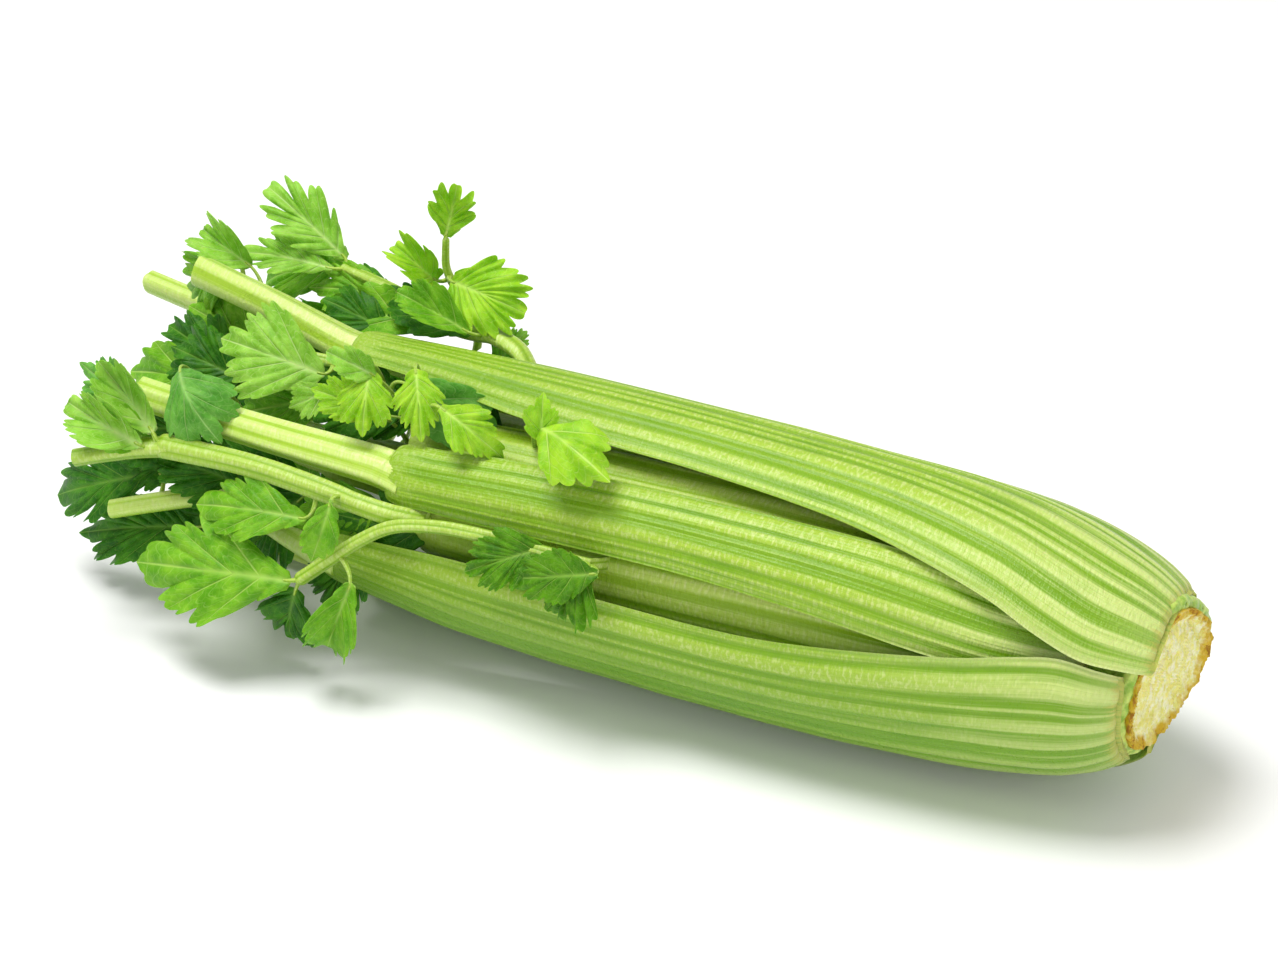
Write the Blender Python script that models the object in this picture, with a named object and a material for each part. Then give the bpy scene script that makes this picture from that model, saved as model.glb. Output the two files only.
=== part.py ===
"""A head of celery lying on its side: stalks round a heart and crown, with trimmed tops and leaves.

The head lies along X. The cut crown is at +X, the leaves are at -X, and the lowest stalk touches z = 0.
"""
import math

import bmesh
import bpy
from mathutils import Vector

# Driving dimensions, in metres.
AXIS_HEIGHT = 0.047          # the middle line of the head above the surface
STEP_SIZE = 0.00003          # how far the flattened underside is from one plane, outside the resting face
STEP_CHANGES = 997           # how quickly that distance changes along the stalk, per metre
REST_FROM_X = 0.035          # the resting face lies between these two places along the lowest stalk
REST_TO_X = 0.062

# Crown: (x, radius) of its flank, then the cut face.
CROWN_FLANK = ((0.142, 0.0070), (0.150, 0.0130), (0.160, 0.0175), (0.171, 0.0200), (0.182, 0.0218))
CUT_CENTRE = Vector((0.1955, 0.0, 0.047))
CUT_NORMAL = Vector((0.967, -0.241, -0.087)).normalized()
CUT_HALF_HEIGHT = 0.0240
CUT_HALF_WIDTH = 0.0224
CROWN_SIDES = 24
CROWN_NARROWING = 0.95       # width of the flank over its height
CUT_BEVEL = (0.0045, 0.955)  # where the flank meets the cut face: distance behind it, and share of its size

# A stalk's rows, from its base to its top: x, angle round the head in degrees (0 faces -Y, 90 faces up),
# crest radius, half width along the curve, radius of its curve, thickness.
OUTER_STALKS = {
    "stalk_top": (
        (0.197, 78.5, 0.0280, 0.0222, 0.0280, 0.0026),
        (0.190, 78.5, 0.0328, 0.0268, 0.0325, 0.0046),
        (0.172, 81, 0.0398, 0.0332, 0.0396, 0.0070),
        (0.150, 88, 0.0448, 0.0336, 0.0435, 0.0084),
        (0.127, 93, 0.0474, 0.0325, 0.0420, 0.0090),
        (0.095, 97, 0.0488, 0.0292, 0.0375, 0.0094),
        (0.046, 99, 0.0500, 0.0262, 0.0320, 0.0096),
        (-0.015, 98, 0.0508, 0.0226, 0.0260, 0.0098),
        (-0.060, 97, 0.0505, 0.0152, 0.0170, 0.0092),
        (-0.090, 96, 0.0498, 0.0115, 0.0128, 0.0088),
    ),
    "stalk_front": (
        (0.176, 36, 0.0300, 0.0105, 0.0260, 0.0055),
        (0.165, 36, 0.0330, 0.0120, 0.0280, 0.0068),
        (0.150, 36, 0.0382, 0.0134, 0.0270, 0.0080),
        (0.122, 39, 0.0448, 0.0154, 0.0230, 0.0090),
        (0.095, 41, 0.0478, 0.0150, 0.0200, 0.0095),
        (0.047, 42, 0.0485, 0.0135, 0.0180, 0.0098),
        (-0.010, 40, 0.0488, 0.0130, 0.0160, 0.0098),
        (-0.037, 38, 0.0490, 0.0118, 0.0140, 0.0094),
        (-0.057, 37, 0.0490, 0.0108, 0.0128, 0.0090),
    ),
    "stalk_lower_front": (
        (0.189, -20, 0.0290, 0.0242, 0.0290, 0.0028),
        (0.183, -20, 0.0335, 0.0284, 0.0330, 0.0048),
        (0.168, -21, 0.0390, 0.0350, 0.0388, 0.0068),
        (0.140, -22, 0.0440, 0.0332, 0.0425, 0.0084),
        (0.106, -24, 0.0470, 0.0305, 0.0400, 0.0092),
        (0.070, -25, 0.0482, 0.0275, 0.0370, 0.0094),
        (0.015, -24, 0.0485, 0.0260, 0.0330, 0.0094),
        (-0.030, -18, 0.0490, 0.0215, 0.0260, 0.0092),
        (-0.058, -11, 0.0492, 0.0150, 0.0175, 0.0090),
        (-0.078, -7, 0.0492, 0.0110, 0.0130, 0.0086),
    ),
    "stalk_under": (
        (0.193, -107, 0.0285, 0.0128, 0.0285, 0.0028),
        (0.186, -107, 0.0335, 0.0160, 0.0330, 0.0048),
        (0.170, -107, 0.0398, 0.0192, 0.0390, 0.0070),
        (0.140, -101, 0.0452, 0.0228, 0.0420, 0.0086),
        (0.106, -95, 0.0480, 0.0225, 0.0360, 0.0092),
        (0.070, -91, 0.0484, 0.0215, 0.0330, 0.0094),
        (0.010, -88, 0.0484, 0.0205, 0.0300, 0.0094),
        (-0.040, -88, 0.0478, 0.0175, 0.0230, 0.0092),
        (-0.084, -90, 0.0462, 0.0112, 0.0130, 0.0086),
    ),
    "stalk_back": (
        (0.197, 149, 0.0272, 0.0098, 0.0272, 0.0024),
        (0.190, 149, 0.0320, 0.0116, 0.0320, 0.0044),
        (0.172, 150, 0.0392, 0.0140, 0.0380, 0.0070),
        (0.150, 153, 0.0450, 0.0168, 0.0400, 0.0084),
        (0.122, 156, 0.0470, 0.0188, 0.0360, 0.0090),
        (0.080, 158, 0.0480, 0.0195, 0.0290, 0.0092),
        (0.010, 158, 0.0485, 0.0190, 0.0250, 0.0092),
        (-0.050, 157, 0.0488, 0.0150, 0.0180, 0.0090),
        (-0.098, 156, 0.0490, 0.0105, 0.0125, 0.0084),
    ),
    "stalk_lower_back": (
        (0.197, 200, 0.0274, 0.0098, 0.0274, 0.0024),
        (0.190, 200, 0.0320, 0.0116, 0.0320, 0.0044),
        (0.172, 200, 0.0396, 0.0142, 0.0385, 0.0070),
        (0.150, 204, 0.0450, 0.0160, 0.0400, 0.0084),
        (0.122, 207, 0.0470, 0.0180, 0.0360, 0.0090),
        (0.080, 209, 0.0478, 0.0185, 0.0290, 0.0092),
        (0.010, 211, 0.0482, 0.0180, 0.0240, 0.0092),
        (-0.040, 212, 0.0482, 0.0145, 0.0180, 0.0090),
        (-0.076, 212, 0.0478, 0.0105, 0.0125, 0.0084),
    ),
}

# The hollowed inner side of a stalk: share of the width that it spans, thickness at its sides and its middle.
HOLLOW_REACH = 0.985
HOLLOW_SIDE = 0.55
HOLLOW_MIDDLE = 0.45
EDGE_POWER = 5               # the higher, the nearer to the edge a stalk starts to thin out

# Sections along a stalk, points across its outer side, points across its inner side.
OUTER_COUNTS = (17, 13, 7)
INNER_COUNTS = (12, 9, 5)
HEART_COUNTS = (9, 7, 3)
OUTER_SPACING = 1.25         # above 1, the sections stand closer together near the base
INNER_SPACING = 1.2
LEAN = 1.5                   # how far an inner stalk leans round the head along its length, in degrees
LEAN_WAVES = 5

# Inner and heart stalks share one profile each: x, crest radius, half width, curve radius, thickness.
INNER_PROFILE = (
    (0.150, 0.0262, 0.0085, 0.0220, 0.0045),
    (0.132, 0.0318, 0.0115, 0.0240, 0.0062),
    (0.105, 0.0370, 0.0140, 0.0240, 0.0074),
    (0.050, 0.0381, 0.0145, 0.0220, 0.0078),
    (-0.010, 0.0383, 0.0138, 0.0190, 0.0078),
    (-0.060, 0.0384, 0.0100, 0.0130, 0.0074),
)
INNER_STALKS = {
    "inner_stalk_top": (62, -0.058),
    "inner_stalk_front": (15, -0.048),
    "inner_stalk_under": (-48, -0.082),
    "inner_stalk_lower_back": (-120, -0.070),
    "inner_stalk_back": (175, -0.088),
}
HEART_PROFILE = (
    (0.124, 0.0205, 0.0070, 0.0160, 0.0045),
    (0.100, 0.0265, 0.0100, 0.0180, 0.0066),
    (0.050, 0.0290, 0.0115, 0.0170, 0.0074),
    (-0.020, 0.0294, 0.0105, 0.0150, 0.0072),
    (-0.090, 0.0296, 0.0072, 0.0095, 0.0066),
)
HEART_STALKS = {
    "heart_stalk_front": (38, -0.090),
    "heart_stalk_top": (120, -0.102),
    "heart_stalk_back": (-150, -0.096),
    "heart_stalk_under": (-62, -0.084),
}
CORE_PATH = ((0.132, 0.0, 0.047), (0.06, 0.001, 0.047), (-0.03, 0.0, 0.048), (-0.112, 0.002, 0.050))
CORE_RADII = ((0.0085, 0.0075), (0.0145, 0.0130), (0.0130, 0.0120), (0.0085, 0.0075))
CORE_STATIONS = 10
CORE_SIDES = 12

STEM_STATIONS = 8
STEM_SIDES = 10
STEM_SWELL = (0.06, 3, 0.4)  # the corners of a stem's section: how proud, how many, and turned how far
STEM_WAVE = (0.03, 6)        # the wave in a stem's thickness: how strong, and how quick along it

# Trimmed tops and side stems: route, half sizes (across, through) at both ends, way the flat side faces.
STEMS = {
    "stub_top": (
        ((-0.0906, 0.004, 0.0912), (-0.098, 0.0045, 0.0920),
         (-0.124, 0.0075, 0.0975), (-0.154, 0.0100, 0.1030)),
        (0.0078, 0.0044), (0.0064, 0.0054), (0, 0, 1)),
    "stub_front": (
        ((-0.0576, -0.0352, 0.0738), (-0.066, -0.0350, 0.0745),
         (-0.110, -0.0330, 0.0745), (-0.155, -0.0300, 0.0755)),
        (0.0072, 0.0046), (0.0058, 0.0048), (0, -0.6, 0.8)),
    "stub_lower_front": (
        ((-0.0800, -0.0450, 0.0408), (-0.096, -0.0420, 0.0440),
         (-0.122, -0.0370, 0.0470), (-0.160, -0.0450, 0.0365)),
        (0.0044, 0.0042), (0.0034, 0.0032), (0, -1, 0)),
    "stub_back": (
        ((-0.0986, 0.0412, 0.0655), (-0.106, 0.0412, 0.0655),
         (-0.150, 0.0400, 0.0660), (-0.199, 0.0450, 0.0700)),
        (0.0066, 0.0042), (0.0044, 0.0038), (0, 1, 0.2)),
    "stub_under": (
        ((-0.0846, 0.000, 0.0050), (-0.092, 0.000, 0.0052),
         (-0.120, 0.002, 0.0060), (-0.150, 0.004, 0.0066)),
        (0.0070, 0.0038), (0.0052, 0.0042), (0, 0, -1)),
    "stub_lower_back": (
        ((-0.0766, 0.0372, 0.0245), (-0.084, 0.0372, 0.0245),
         (-0.118, 0.0400, 0.0250), (-0.152, 0.0440, 0.0270)),
        (0.0064, 0.0042), (0.0048, 0.0042), (0, 1, -0.5)),
    "side_stem_front": (
        ((-0.0640, -0.0460, 0.0655), (-0.080, -0.0450, 0.0668),
         (-0.105, -0.0440, 0.0680), (-0.1365, -0.0450, 0.0675)),
        (0.0034, 0.0032), (0.0042, 0.0040), (0, -1, 0.3)),
    "side_stub_front": (
        ((-0.1384, -0.0456, 0.0672), (-0.146, -0.0478, 0.0660),
         (-0.156, -0.0512, 0.0635), (-0.166, -0.0550, 0.0610)),
        (0.0036, 0.0034), (0.0031, 0.0029), (0, -1, 0.3)),
    "side_stem_lower": (
        ((0.0160, -0.0438, 0.0640), (-0.010, -0.0462, 0.0662), (-0.032, -0.0475, 0.0662),
         (-0.052, -0.0495, 0.0615), (-0.066, -0.0540, 0.0510), (-0.0785, -0.0590, 0.0405)),
        (0.0022, 0.0020), (0.0025, 0.0024), (0, -1, 0.3)),
    "leaf_stem_top": (
        ((-0.0906, -0.0068, 0.0905), (-0.097, -0.0072, 0.0905),
         (-0.103, -0.0080, 0.0910), (-0.1085, -0.0095, 0.0920)),
        (0.0022, 0.0021), (0.0018, 0.0017), (0, -1, 0.3)),
    "leaf_stem_back": (
        ((-0.052, 0.0285, 0.0920), (-0.070, 0.0310, 0.0905),
         (-0.091, 0.0350, 0.0955), (-0.114, 0.0385, 0.0985)),
        (0.0036, 0.0032), (0.0022, 0.0020), (0, -0.5, 0.8)),
    "leaf_stem_tall": (
        ((-0.064, 0.0395, 0.0890), (-0.071, 0.0405, 0.0970),
         (-0.076, 0.0405, 0.1060), (-0.076, 0.0405, 0.1170)),
        (0.0020, 0.0018), (0.0013, 0.0012), (0.4, -0.8, 0)),
}

# Leaves: foot, tip, direction that the upper side faces, half width, bend along the length, fold across.
LEAVES = {
    "leaf_rear_tall": (
        (-0.1150, 0.041, 0.1005), (-0.146, 0.044, 0.1195), (0.3, -0.7, 0.65), 0.0095, 0.10, 0.15),
    "leaf_rear_left": (
        (-0.1170, 0.035, 0.0990), (-0.150, 0.031, 0.1000), (0.2, -0.5, 0.85), 0.0065, 0.06, 0.20),
    "leaf_rear_small": (
        (-0.1430, 0.0250, 0.0990), (-0.163, 0.0280, 0.1070), (0.3, -0.8, 0.5), 0.0075, 0.10, 0.45),
    "leaf_crest_tall": (
        (-0.0762, 0.0405, 0.1180), (-0.0710, 0.0400, 0.1385), (0.3, -0.8, 0.3), 0.0075, -0.08, 0.20),
    "leaf_crest_curled": (
        (-0.0795, 0.0395, 0.1010), (-0.0935, 0.0365, 0.1130), (0.4, -0.7, 0.5), 0.0070, 0.22, 0.35),
    "leaf_crest_broad": (
        (-0.0720, 0.0360, 0.1045), (-0.0440, 0.0345, 0.1000), (0.2, -0.75, 0.6), 0.0120, 0.16, 0.10),
    "leaf_crest_low": (
        (-0.0580, 0.0215, 0.0955), (-0.0840, 0.0205, 0.1050), (0.2, -0.6, 0.75), 0.0065, 0.08, 0.35),
    "leaf_behind_stem": (
        (-0.0880, 0.0240, 0.0860), (-0.1130, 0.0240, 0.0930), (0.1, -0.6, 0.8), 0.0090, 0.08, 0.15),
    "leaf_fan": (
        (-0.0930, -0.0135, 0.0890), (-0.1290, -0.0160, 0.0950), (0.25, -0.75, 0.6), 0.0135, 0.08, 0.10),
    "leaf_dark_drooping": (
        (-0.1390, -0.0290, 0.0880), (-0.1170, -0.0440, 0.0740), (0.1, -0.8, 0.6), 0.0120, 0.22, -0.15),
    "leaf_pale_small": (
        (-0.0850, -0.0205, 0.0900), (-0.0985, -0.0260, 0.0825), (0.3, -0.8, 0.5), 0.0050, 0.10, 0.20),
    "leaf_bright": (
        (-0.0720, -0.0200, 0.1000), (-0.0670, -0.0350, 0.0860), (0.3, -0.6, 0.75), 0.0080, 0.22, -0.10),
    "leaf_ragged": (
        (-0.0580, -0.0150, 0.1010), (-0.0490, -0.0290, 0.0855), (0.4, -0.7, 0.6), 0.0070, 0.15, 0.25),
    "leaf_on_front": (
        (-0.0100, -0.0235, 0.0960), (0.0200, -0.0370, 0.0930), (0.2, -0.6, 0.8), 0.0095, 0.20, -0.35),
    "leaf_curled_up": (
        (-0.1400, -0.0460, 0.0725), (-0.1600, -0.0450, 0.0940), (0.6, -0.75, 0.2), 0.0095, -0.12, 0.35),
    "leaf_curled_left": (
        (-0.1425, -0.0500, 0.0690), (-0.1680, -0.0520, 0.0800), (0.3, -0.8, 0.5), 0.0080, 0.12, 0.25),
    "leaf_dark_left": (
        (-0.1480, -0.0320, 0.0470), (-0.1900, -0.0320, 0.0270), (0.1, -0.8, 0.6), 0.0105, 0.10, 0.12),
    "leaf_dark_low": (
        (-0.1340, -0.0300, 0.0280), (-0.1800, -0.0330, 0.0150), (0.1, -0.75, 0.65), 0.0110, 0.08, 0.10),
    "leaf_large_low": (
        (-0.0812, -0.0605, 0.0395), (-0.1370, -0.0610, 0.0310), (0.1, -0.8, 0.6), 0.0150, 0.08, 0.06),
    "leaf_mid_low": (
        (-0.0800, -0.0510, 0.0580), (-0.1200, -0.0500, 0.0520), (0.1, -0.7, 0.7), 0.0095, 0.10, 0.12),
    "leaf_strap": (
        (-0.0690, -0.0530, 0.0700), (-0.0730, -0.0600, 0.0510), (0.4, -0.85, 0.2), 0.0055, 0.10, 0.30),
    "leaf_hanging": (
        (-0.0815, -0.0575, 0.0350), (-0.0880, -0.0520, 0.0110), (0.1, -0.9, 0.3), 0.0105, 0.10, 0.12),
    "leaf_hanging_right": (
        (-0.0600, -0.0585, 0.0440), (-0.0700, -0.0590, 0.0160), (0.3, -0.9, 0.2), 0.0085, 0.10, 0.25),
    "leaf_between": (
        (0.0200, -0.0475, 0.0660), (0.0080, -0.0535, 0.0500), (0.1, -0.85, 0.5), 0.0150, 0.08, 0.10),
    "leaf_dark_middle": (
        (-0.1300, -0.0060, 0.0740), (-0.1560, -0.0060, 0.0800), (0.1, -0.7, 0.7), 0.0105, 0.08, 0.10),
    "leaf_back_high": (
        (-0.1080, 0.0520, 0.0620), (-0.1500, 0.0590, 0.0520), (-0.1, 0.9, 0.4), 0.0140, 0.10, 0.10),
    "leaf_back_hanging": (
        (-0.0980, 0.0520, 0.0520), (-0.1200, 0.0620, 0.0260), (-0.1, 0.9, 0.3), 0.0120, 0.12, 0.12),
    "leaf_back_low": (
        (-0.0880, 0.0480, 0.0200), (-0.1350, 0.0560, 0.0130), (0, 0.6, 0.8), 0.0125, 0.08, 0.10),
    "leaf_under": (
        (-0.1000, 0.0160, 0.0140), (-0.1480, 0.0220, 0.0150), (0, 0.2, 1), 0.0130, 0.06, 0.10),
    "leaf_centre": (
        (-0.1180, 0.0120, 0.0560), (-0.1720, 0.0140, 0.0560), (0, -0.4, 0.9), 0.0130, 0.08, 0.10),
}
LEAF_OUTLINE = ((0.0, 0.14), (0.2, 0.55), (0.45, 1.0), (0.68, 0.95), (0.88, 0.58), (1.0, 0.14))
LEAF_THICKNESS = 0.0012
LEAF_TAPER = 0.3             # share of the thickness lost by the tip
LEAF_CROWNING = 0.3          # how far the main vein stands above the blade, in thicknesses
LEAF_EDGE = 0.6              # thickness halfway to the margin, in thicknesses
LEAF_STATIONS = 8


def clear_scene():
    """Remove every object of the scene that the script starts in."""
    for obj in list(bpy.data.objects):
        bpy.data.objects.remove(obj, do_unlink=True)


def plant_material(name, colour, roughness):
    """A plain non-metallic material of one plant colour."""
    material = bpy.data.materials.new(name)
    material.use_nodes = True
    shader = material.node_tree.nodes["Principled BSDF"]
    shader.inputs["Base Color"].default_value = (*colour, 1.0)
    shader.inputs["Roughness"].default_value = roughness
    shader.inputs["Metallic"].default_value = 0.0
    material.diffuse_color = (*colour, 1.0)
    return material


def curve_value(rows, column, place):
    """The value at a place along rows whose first column is the place: a smooth curve through every row."""
    last = len(rows) - 1
    forward = rows[0][0] < rows[last][0]
    index = 0
    while index < last - 1 and (place > rows[index + 1][0] if forward else place < rows[index + 1][0]):
        index += 1
    start, end = rows[index], rows[index + 1]
    before, after = rows[max(index - 1, 0)], rows[min(index + 2, last)]
    span = end[0] - start[0]
    t = min(max((place - start[0]) / span, 0.0), 1.0)
    slope_start = (end[column] - before[column]) / (end[0] - before[0]) * span
    slope_end = (after[column] - start[column]) / (after[0] - start[0]) * span
    rise = end[column] - start[column]
    cubic = slope_start + slope_end - 2 * rise
    square = 3 * rise - 2 * slope_start - slope_end
    return start[column] + t * (slope_start + t * (square + t * cubic))


def route_point(route, t):
    """A point at share t along a smooth route through a list of points."""
    rows = [(index / (len(route) - 1), *point) for index, point in enumerate(route)]
    return Vector([curve_value(rows, column, t) for column in (1, 2, 3)])


def loft(name, rings, material):
    """One closed body through rings of equal size, closed by a flat face at both ends."""
    mesh = bmesh.new()
    rows = [[mesh.verts.new(point) for point in ring] for ring in rings]
    for near, far in zip(rows, rows[1:]):
        for index in range(len(near)):
            follow = (index + 1) % len(near)
            mesh.faces.new((near[index], near[follow], far[follow], far[index]))
    mesh.faces.new(rows[0][::-1])
    mesh.faces.new(rows[-1])
    bmesh.ops.recalc_face_normals(mesh, faces=mesh.faces)
    data = bpy.data.meshes.new(name)
    mesh.to_mesh(data)
    mesh.free()
    data.shade_smooth()
    data.set_sharp_from_angle(angle=math.radians(50))
    obj = bpy.data.objects.new(name, data)
    obj.data.materials.append(material)
    bpy.context.scene.collection.objects.link(obj)
    return obj


def crescent(centre, outward, values, outer_count, inner_count):
    """A ring across a stalk: a rounded outer side and a hollowed inner side that meet at two thin edges."""
    half_width, curve_radius, thickness = values
    sideways = Vector((0.0, -outward.z, outward.y))
    reach = half_width / curve_radius
    ring = []
    for index in range(outer_count):
        turn = reach * (2 * index / (outer_count - 1) - 1)
        drop = curve_radius * (math.cos(turn) - 1)
        ring.append(centre + outward * drop + sideways * curve_radius * math.sin(turn))
    for index in range(inner_count):
        share = 1 - 2 * (index + 1) / (inner_count + 1)
        turn = reach * share * HOLLOW_REACH
        fullness = HOLLOW_SIDE + HOLLOW_MIDDLE * math.cos(math.pi / 2 * share)
        depth = thickness * fullness * math.sqrt(1 - abs(share) ** EDGE_POWER)
        radius = curve_radius - depth
        offset = radius * math.cos(turn) - curve_radius
        ring.append(centre + outward * offset + sideways * radius * math.sin(turn))
    return ring


def outward_at(angle):
    """Unit vector away from the head's middle line at an angle in degrees."""
    turn = math.radians(angle)
    return Vector((0.0, -math.cos(turn), math.sin(turn)))


def rest_on_surface(ring, x):
    """Flatten whatever would reach below the surface that the head lies on."""
    exact = REST_FROM_X <= x <= REST_TO_X
    for index, point in enumerate(ring):
        step = 1 + (index + int(x * STEP_CHANGES)) % 3
        lowest = 0.0 if exact else STEP_SIZE * step
        point.z = max(point.z, lowest)
    return ring


def outer_stalk(name, rows, material):
    """A large stalk through its own rows, from its clasping base to the joint at its top."""
    stations, outer_count, inner_count = OUTER_COUNTS
    rings = []
    for index in range(stations):
        share = index / (stations - 1)
        x = rows[0][0] + (rows[-1][0] - rows[0][0]) * share ** OUTER_SPACING
        angle, crest = curve_value(rows, 1, x), curve_value(rows, 2, x)
        outward = outward_at(angle)
        centre = Vector((x, 0, AXIS_HEIGHT)) + outward * crest
        values = [curve_value(rows, column, x) for column in (3, 4, 5)]
        rings.append(rest_on_surface(crescent(centre, outward, values, outer_count, inner_count), x))
    return loft(name, rings, material)


def nested_stalk(name, profile, angle, top_x, material, counts):
    """A stalk of an inner layer: the layer's profile, stretched to the stalk's own top."""
    stations, outer_count, inner_count = counts
    rings = []
    for index in range(stations):
        share = (index / (stations - 1)) ** INNER_SPACING
        along = profile[0][0] + (profile[-1][0] - profile[0][0]) * share
        x = profile[0][0] + (top_x - profile[0][0]) * share
        outward = outward_at(angle + LEAN * math.sin(LEAN_WAVES * share))
        centre = Vector((x, 0, AXIS_HEIGHT)) + outward * curve_value(profile, 1, along)
        values = [curve_value(profile, column, along) for column in (2, 3, 4)]
        rings.append(crescent(centre, outward, values, outer_count, inner_count))
    return loft(name, rings, material)


def oval_ring(centre, along, flat_side, across, through, count):
    """A ring square to a direction, with the given half sizes and three soft corners."""
    along = along.normalized()
    side = along.cross(flat_side).normalized()
    up = side.cross(along)
    proud, corners, turned = STEM_SWELL
    ring = []
    for index in range(count):
        turn = math.tau * (index + 0.5) / count
        swell = 1.0 + proud * math.cos(corners * turn + turned)
        ring.append(centre + side * across * swell * math.cos(turn) + up * through * swell * math.sin(turn))
    return ring


def stem(name, route, start_size, end_size, flat_side, material):
    """A round or oval stem along a route."""
    strength, quickness = STEM_WAVE
    step = 0.02
    rings = []
    for index in range(STEM_STATIONS):
        t = index / (STEM_STATIONS - 1)
        along = route_point(route, min(t + step, 1.0)) - route_point(route, max(t - step, 0.0))
        wave = 1.0 + strength * math.sin(quickness * t)
        across = (start_size[0] + (end_size[0] - start_size[0]) * t) * wave
        through = (start_size[1] + (end_size[1] - start_size[1]) * t) * wave
        rings.append(oval_ring(route_point(route, t), along, Vector(flat_side), across, through, STEM_SIDES))
    return loft(name, rings, material)


def core(material):
    """The youngest leaf stems at the middle of the head, as one slim body."""
    rows = [(place / (len(CORE_RADII) - 1), *size) for place, size in enumerate(CORE_RADII)]
    rings = []
    for index in range(CORE_STATIONS):
        t = index / (CORE_STATIONS - 1)
        across, through = curve_value(rows, 1, t), curve_value(rows, 2, t)
        point = route_point(CORE_PATH, t)
        rings.append(oval_ring(point, Vector((-1, 0, 0)), Vector((0, 0, 1)), across, through, CORE_SIDES))
    return loft("heart_core", rings, material)


def crown(material):
    """The short stem that carries every stalk: a cone that widens to the tilted cut face."""
    rings = []
    for x, radius in CROWN_FLANK:
        middle = Vector((x, 0, AXIS_HEIGHT))
        width = radius * CROWN_NARROWING
        rings.append(oval_ring(middle, Vector((-1, 0, 0)), Vector((0, 0, 1)), width, radius, CROWN_SIDES))
    for back, swell in (CUT_BEVEL, (0.0, 1.0)):
        middle = CUT_CENTRE - CUT_NORMAL * back
        size = (CUT_HALF_WIDTH * swell, CUT_HALF_HEIGHT * swell)
        rings.append(oval_ring(middle, -CUT_NORMAL, Vector((0, 0, 1)), *size, CROWN_SIDES))
    return loft("crown", rings, material)


def leaf(name, foot, tip, facing, half_width, bend, fold, material):
    """A leaf blade: thin, widest past its middle, bent along its length and folded along its main vein."""
    foot, tip, facing = Vector(foot), Vector(tip), Vector(facing)
    length = (tip - foot).length
    forward = (tip - foot).normalized()
    side = forward.cross(facing).normalized()
    up = side.cross(forward)
    rings = []
    for index in range(LEAF_STATIONS):
        t = index / (LEAF_STATIONS - 1)
        rise = bend * length * 4 * t * (1 - t)
        slope = bend * 4 * (1 - 2 * t)
        along = (forward + up * slope).normalized()
        top = side.cross(along)
        vein = foot + forward * length * t + up * rise
        reach = half_width * curve_value(LEAF_OUTLINE, 1, t)
        lift = top * reach * fold
        thick = LEAF_THICKNESS * (1.0 - LEAF_TAPER * t)
        under = vein + lift / 2 - top * thick * LEAF_EDGE
        rings.append([
            vein - side * reach + lift,
            vein + top * thick * LEAF_CROWNING,
            vein + side * reach + lift,
            under + side * reach / 2,
            vein - top * thick,
            under - side * reach / 2,
        ])
    return loft(name, rings, material)


def centre_on_origin():
    """Move every piece so that the head's box is centred over the origin."""
    bpy.context.view_layer.update()
    points = [obj.matrix_world @ vertex.co for obj in bpy.data.objects for vertex in obj.data.vertices]
    middle_x = (min(p.x for p in points) + max(p.x for p in points)) / 2
    middle_y = (min(p.y for p in points) + max(p.y for p in points)) / 2
    for obj in bpy.data.objects:
        obj.location = (-middle_x, -middle_y, 0)


def build():
    clear_scene()
    green = plant_material("stalk_green", (0.31, 0.56, 0.06), 0.38)
    pale = plant_material("inner_green", (0.40, 0.60, 0.14), 0.42)
    heart = plant_material("heart_yellow", (0.62, 0.72, 0.22), 0.45)
    cut = plant_material("crown_cut", (0.80, 0.70, 0.36), 0.75)
    blade = plant_material("leaf_green", (0.13, 0.38, 0.03), 0.5)
    for name, rows in OUTER_STALKS.items():
        outer_stalk(name, rows, green)
    for name, (angle, top_x) in INNER_STALKS.items():
        nested_stalk(name, INNER_PROFILE, angle, top_x, pale, INNER_COUNTS)
    for name, (angle, top_x) in HEART_STALKS.items():
        nested_stalk(name, HEART_PROFILE, angle, top_x, heart, HEART_COUNTS)
    core(heart)
    crown(cut)
    for name, (route, start_size, end_size, flat_side) in STEMS.items():
        stem(name, route, start_size, end_size, flat_side, green)
    for name, row in LEAVES.items():
        leaf(name, *row, blade)
    centre_on_origin()


build()
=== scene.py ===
"""A head of celery lying on a pale floor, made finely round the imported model.

Each CAD piece is read back as its cross-sections, and a finer piece is lofted through them: ribbed stalks,
stubs with cut ends, lobed and toothed leaves, and the crown with its cut face.
"""
import math

import bpy
import numpy as np
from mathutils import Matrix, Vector


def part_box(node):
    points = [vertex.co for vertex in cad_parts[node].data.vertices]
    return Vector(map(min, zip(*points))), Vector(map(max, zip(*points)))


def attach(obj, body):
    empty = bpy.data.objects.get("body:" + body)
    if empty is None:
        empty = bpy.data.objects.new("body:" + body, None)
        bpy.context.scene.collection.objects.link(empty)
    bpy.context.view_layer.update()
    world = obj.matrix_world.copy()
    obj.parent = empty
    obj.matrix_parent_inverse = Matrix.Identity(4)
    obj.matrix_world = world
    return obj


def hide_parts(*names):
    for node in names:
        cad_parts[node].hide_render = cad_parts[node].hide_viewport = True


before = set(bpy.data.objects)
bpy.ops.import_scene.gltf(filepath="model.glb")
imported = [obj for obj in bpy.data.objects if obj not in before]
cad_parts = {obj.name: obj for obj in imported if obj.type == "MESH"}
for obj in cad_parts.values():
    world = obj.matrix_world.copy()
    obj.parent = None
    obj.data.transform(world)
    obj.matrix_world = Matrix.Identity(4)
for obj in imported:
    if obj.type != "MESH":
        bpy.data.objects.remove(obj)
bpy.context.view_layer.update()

MM = 0.001
FLAT = 0.004 * MM            # how far the corners of a flat end may be from one plane

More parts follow.
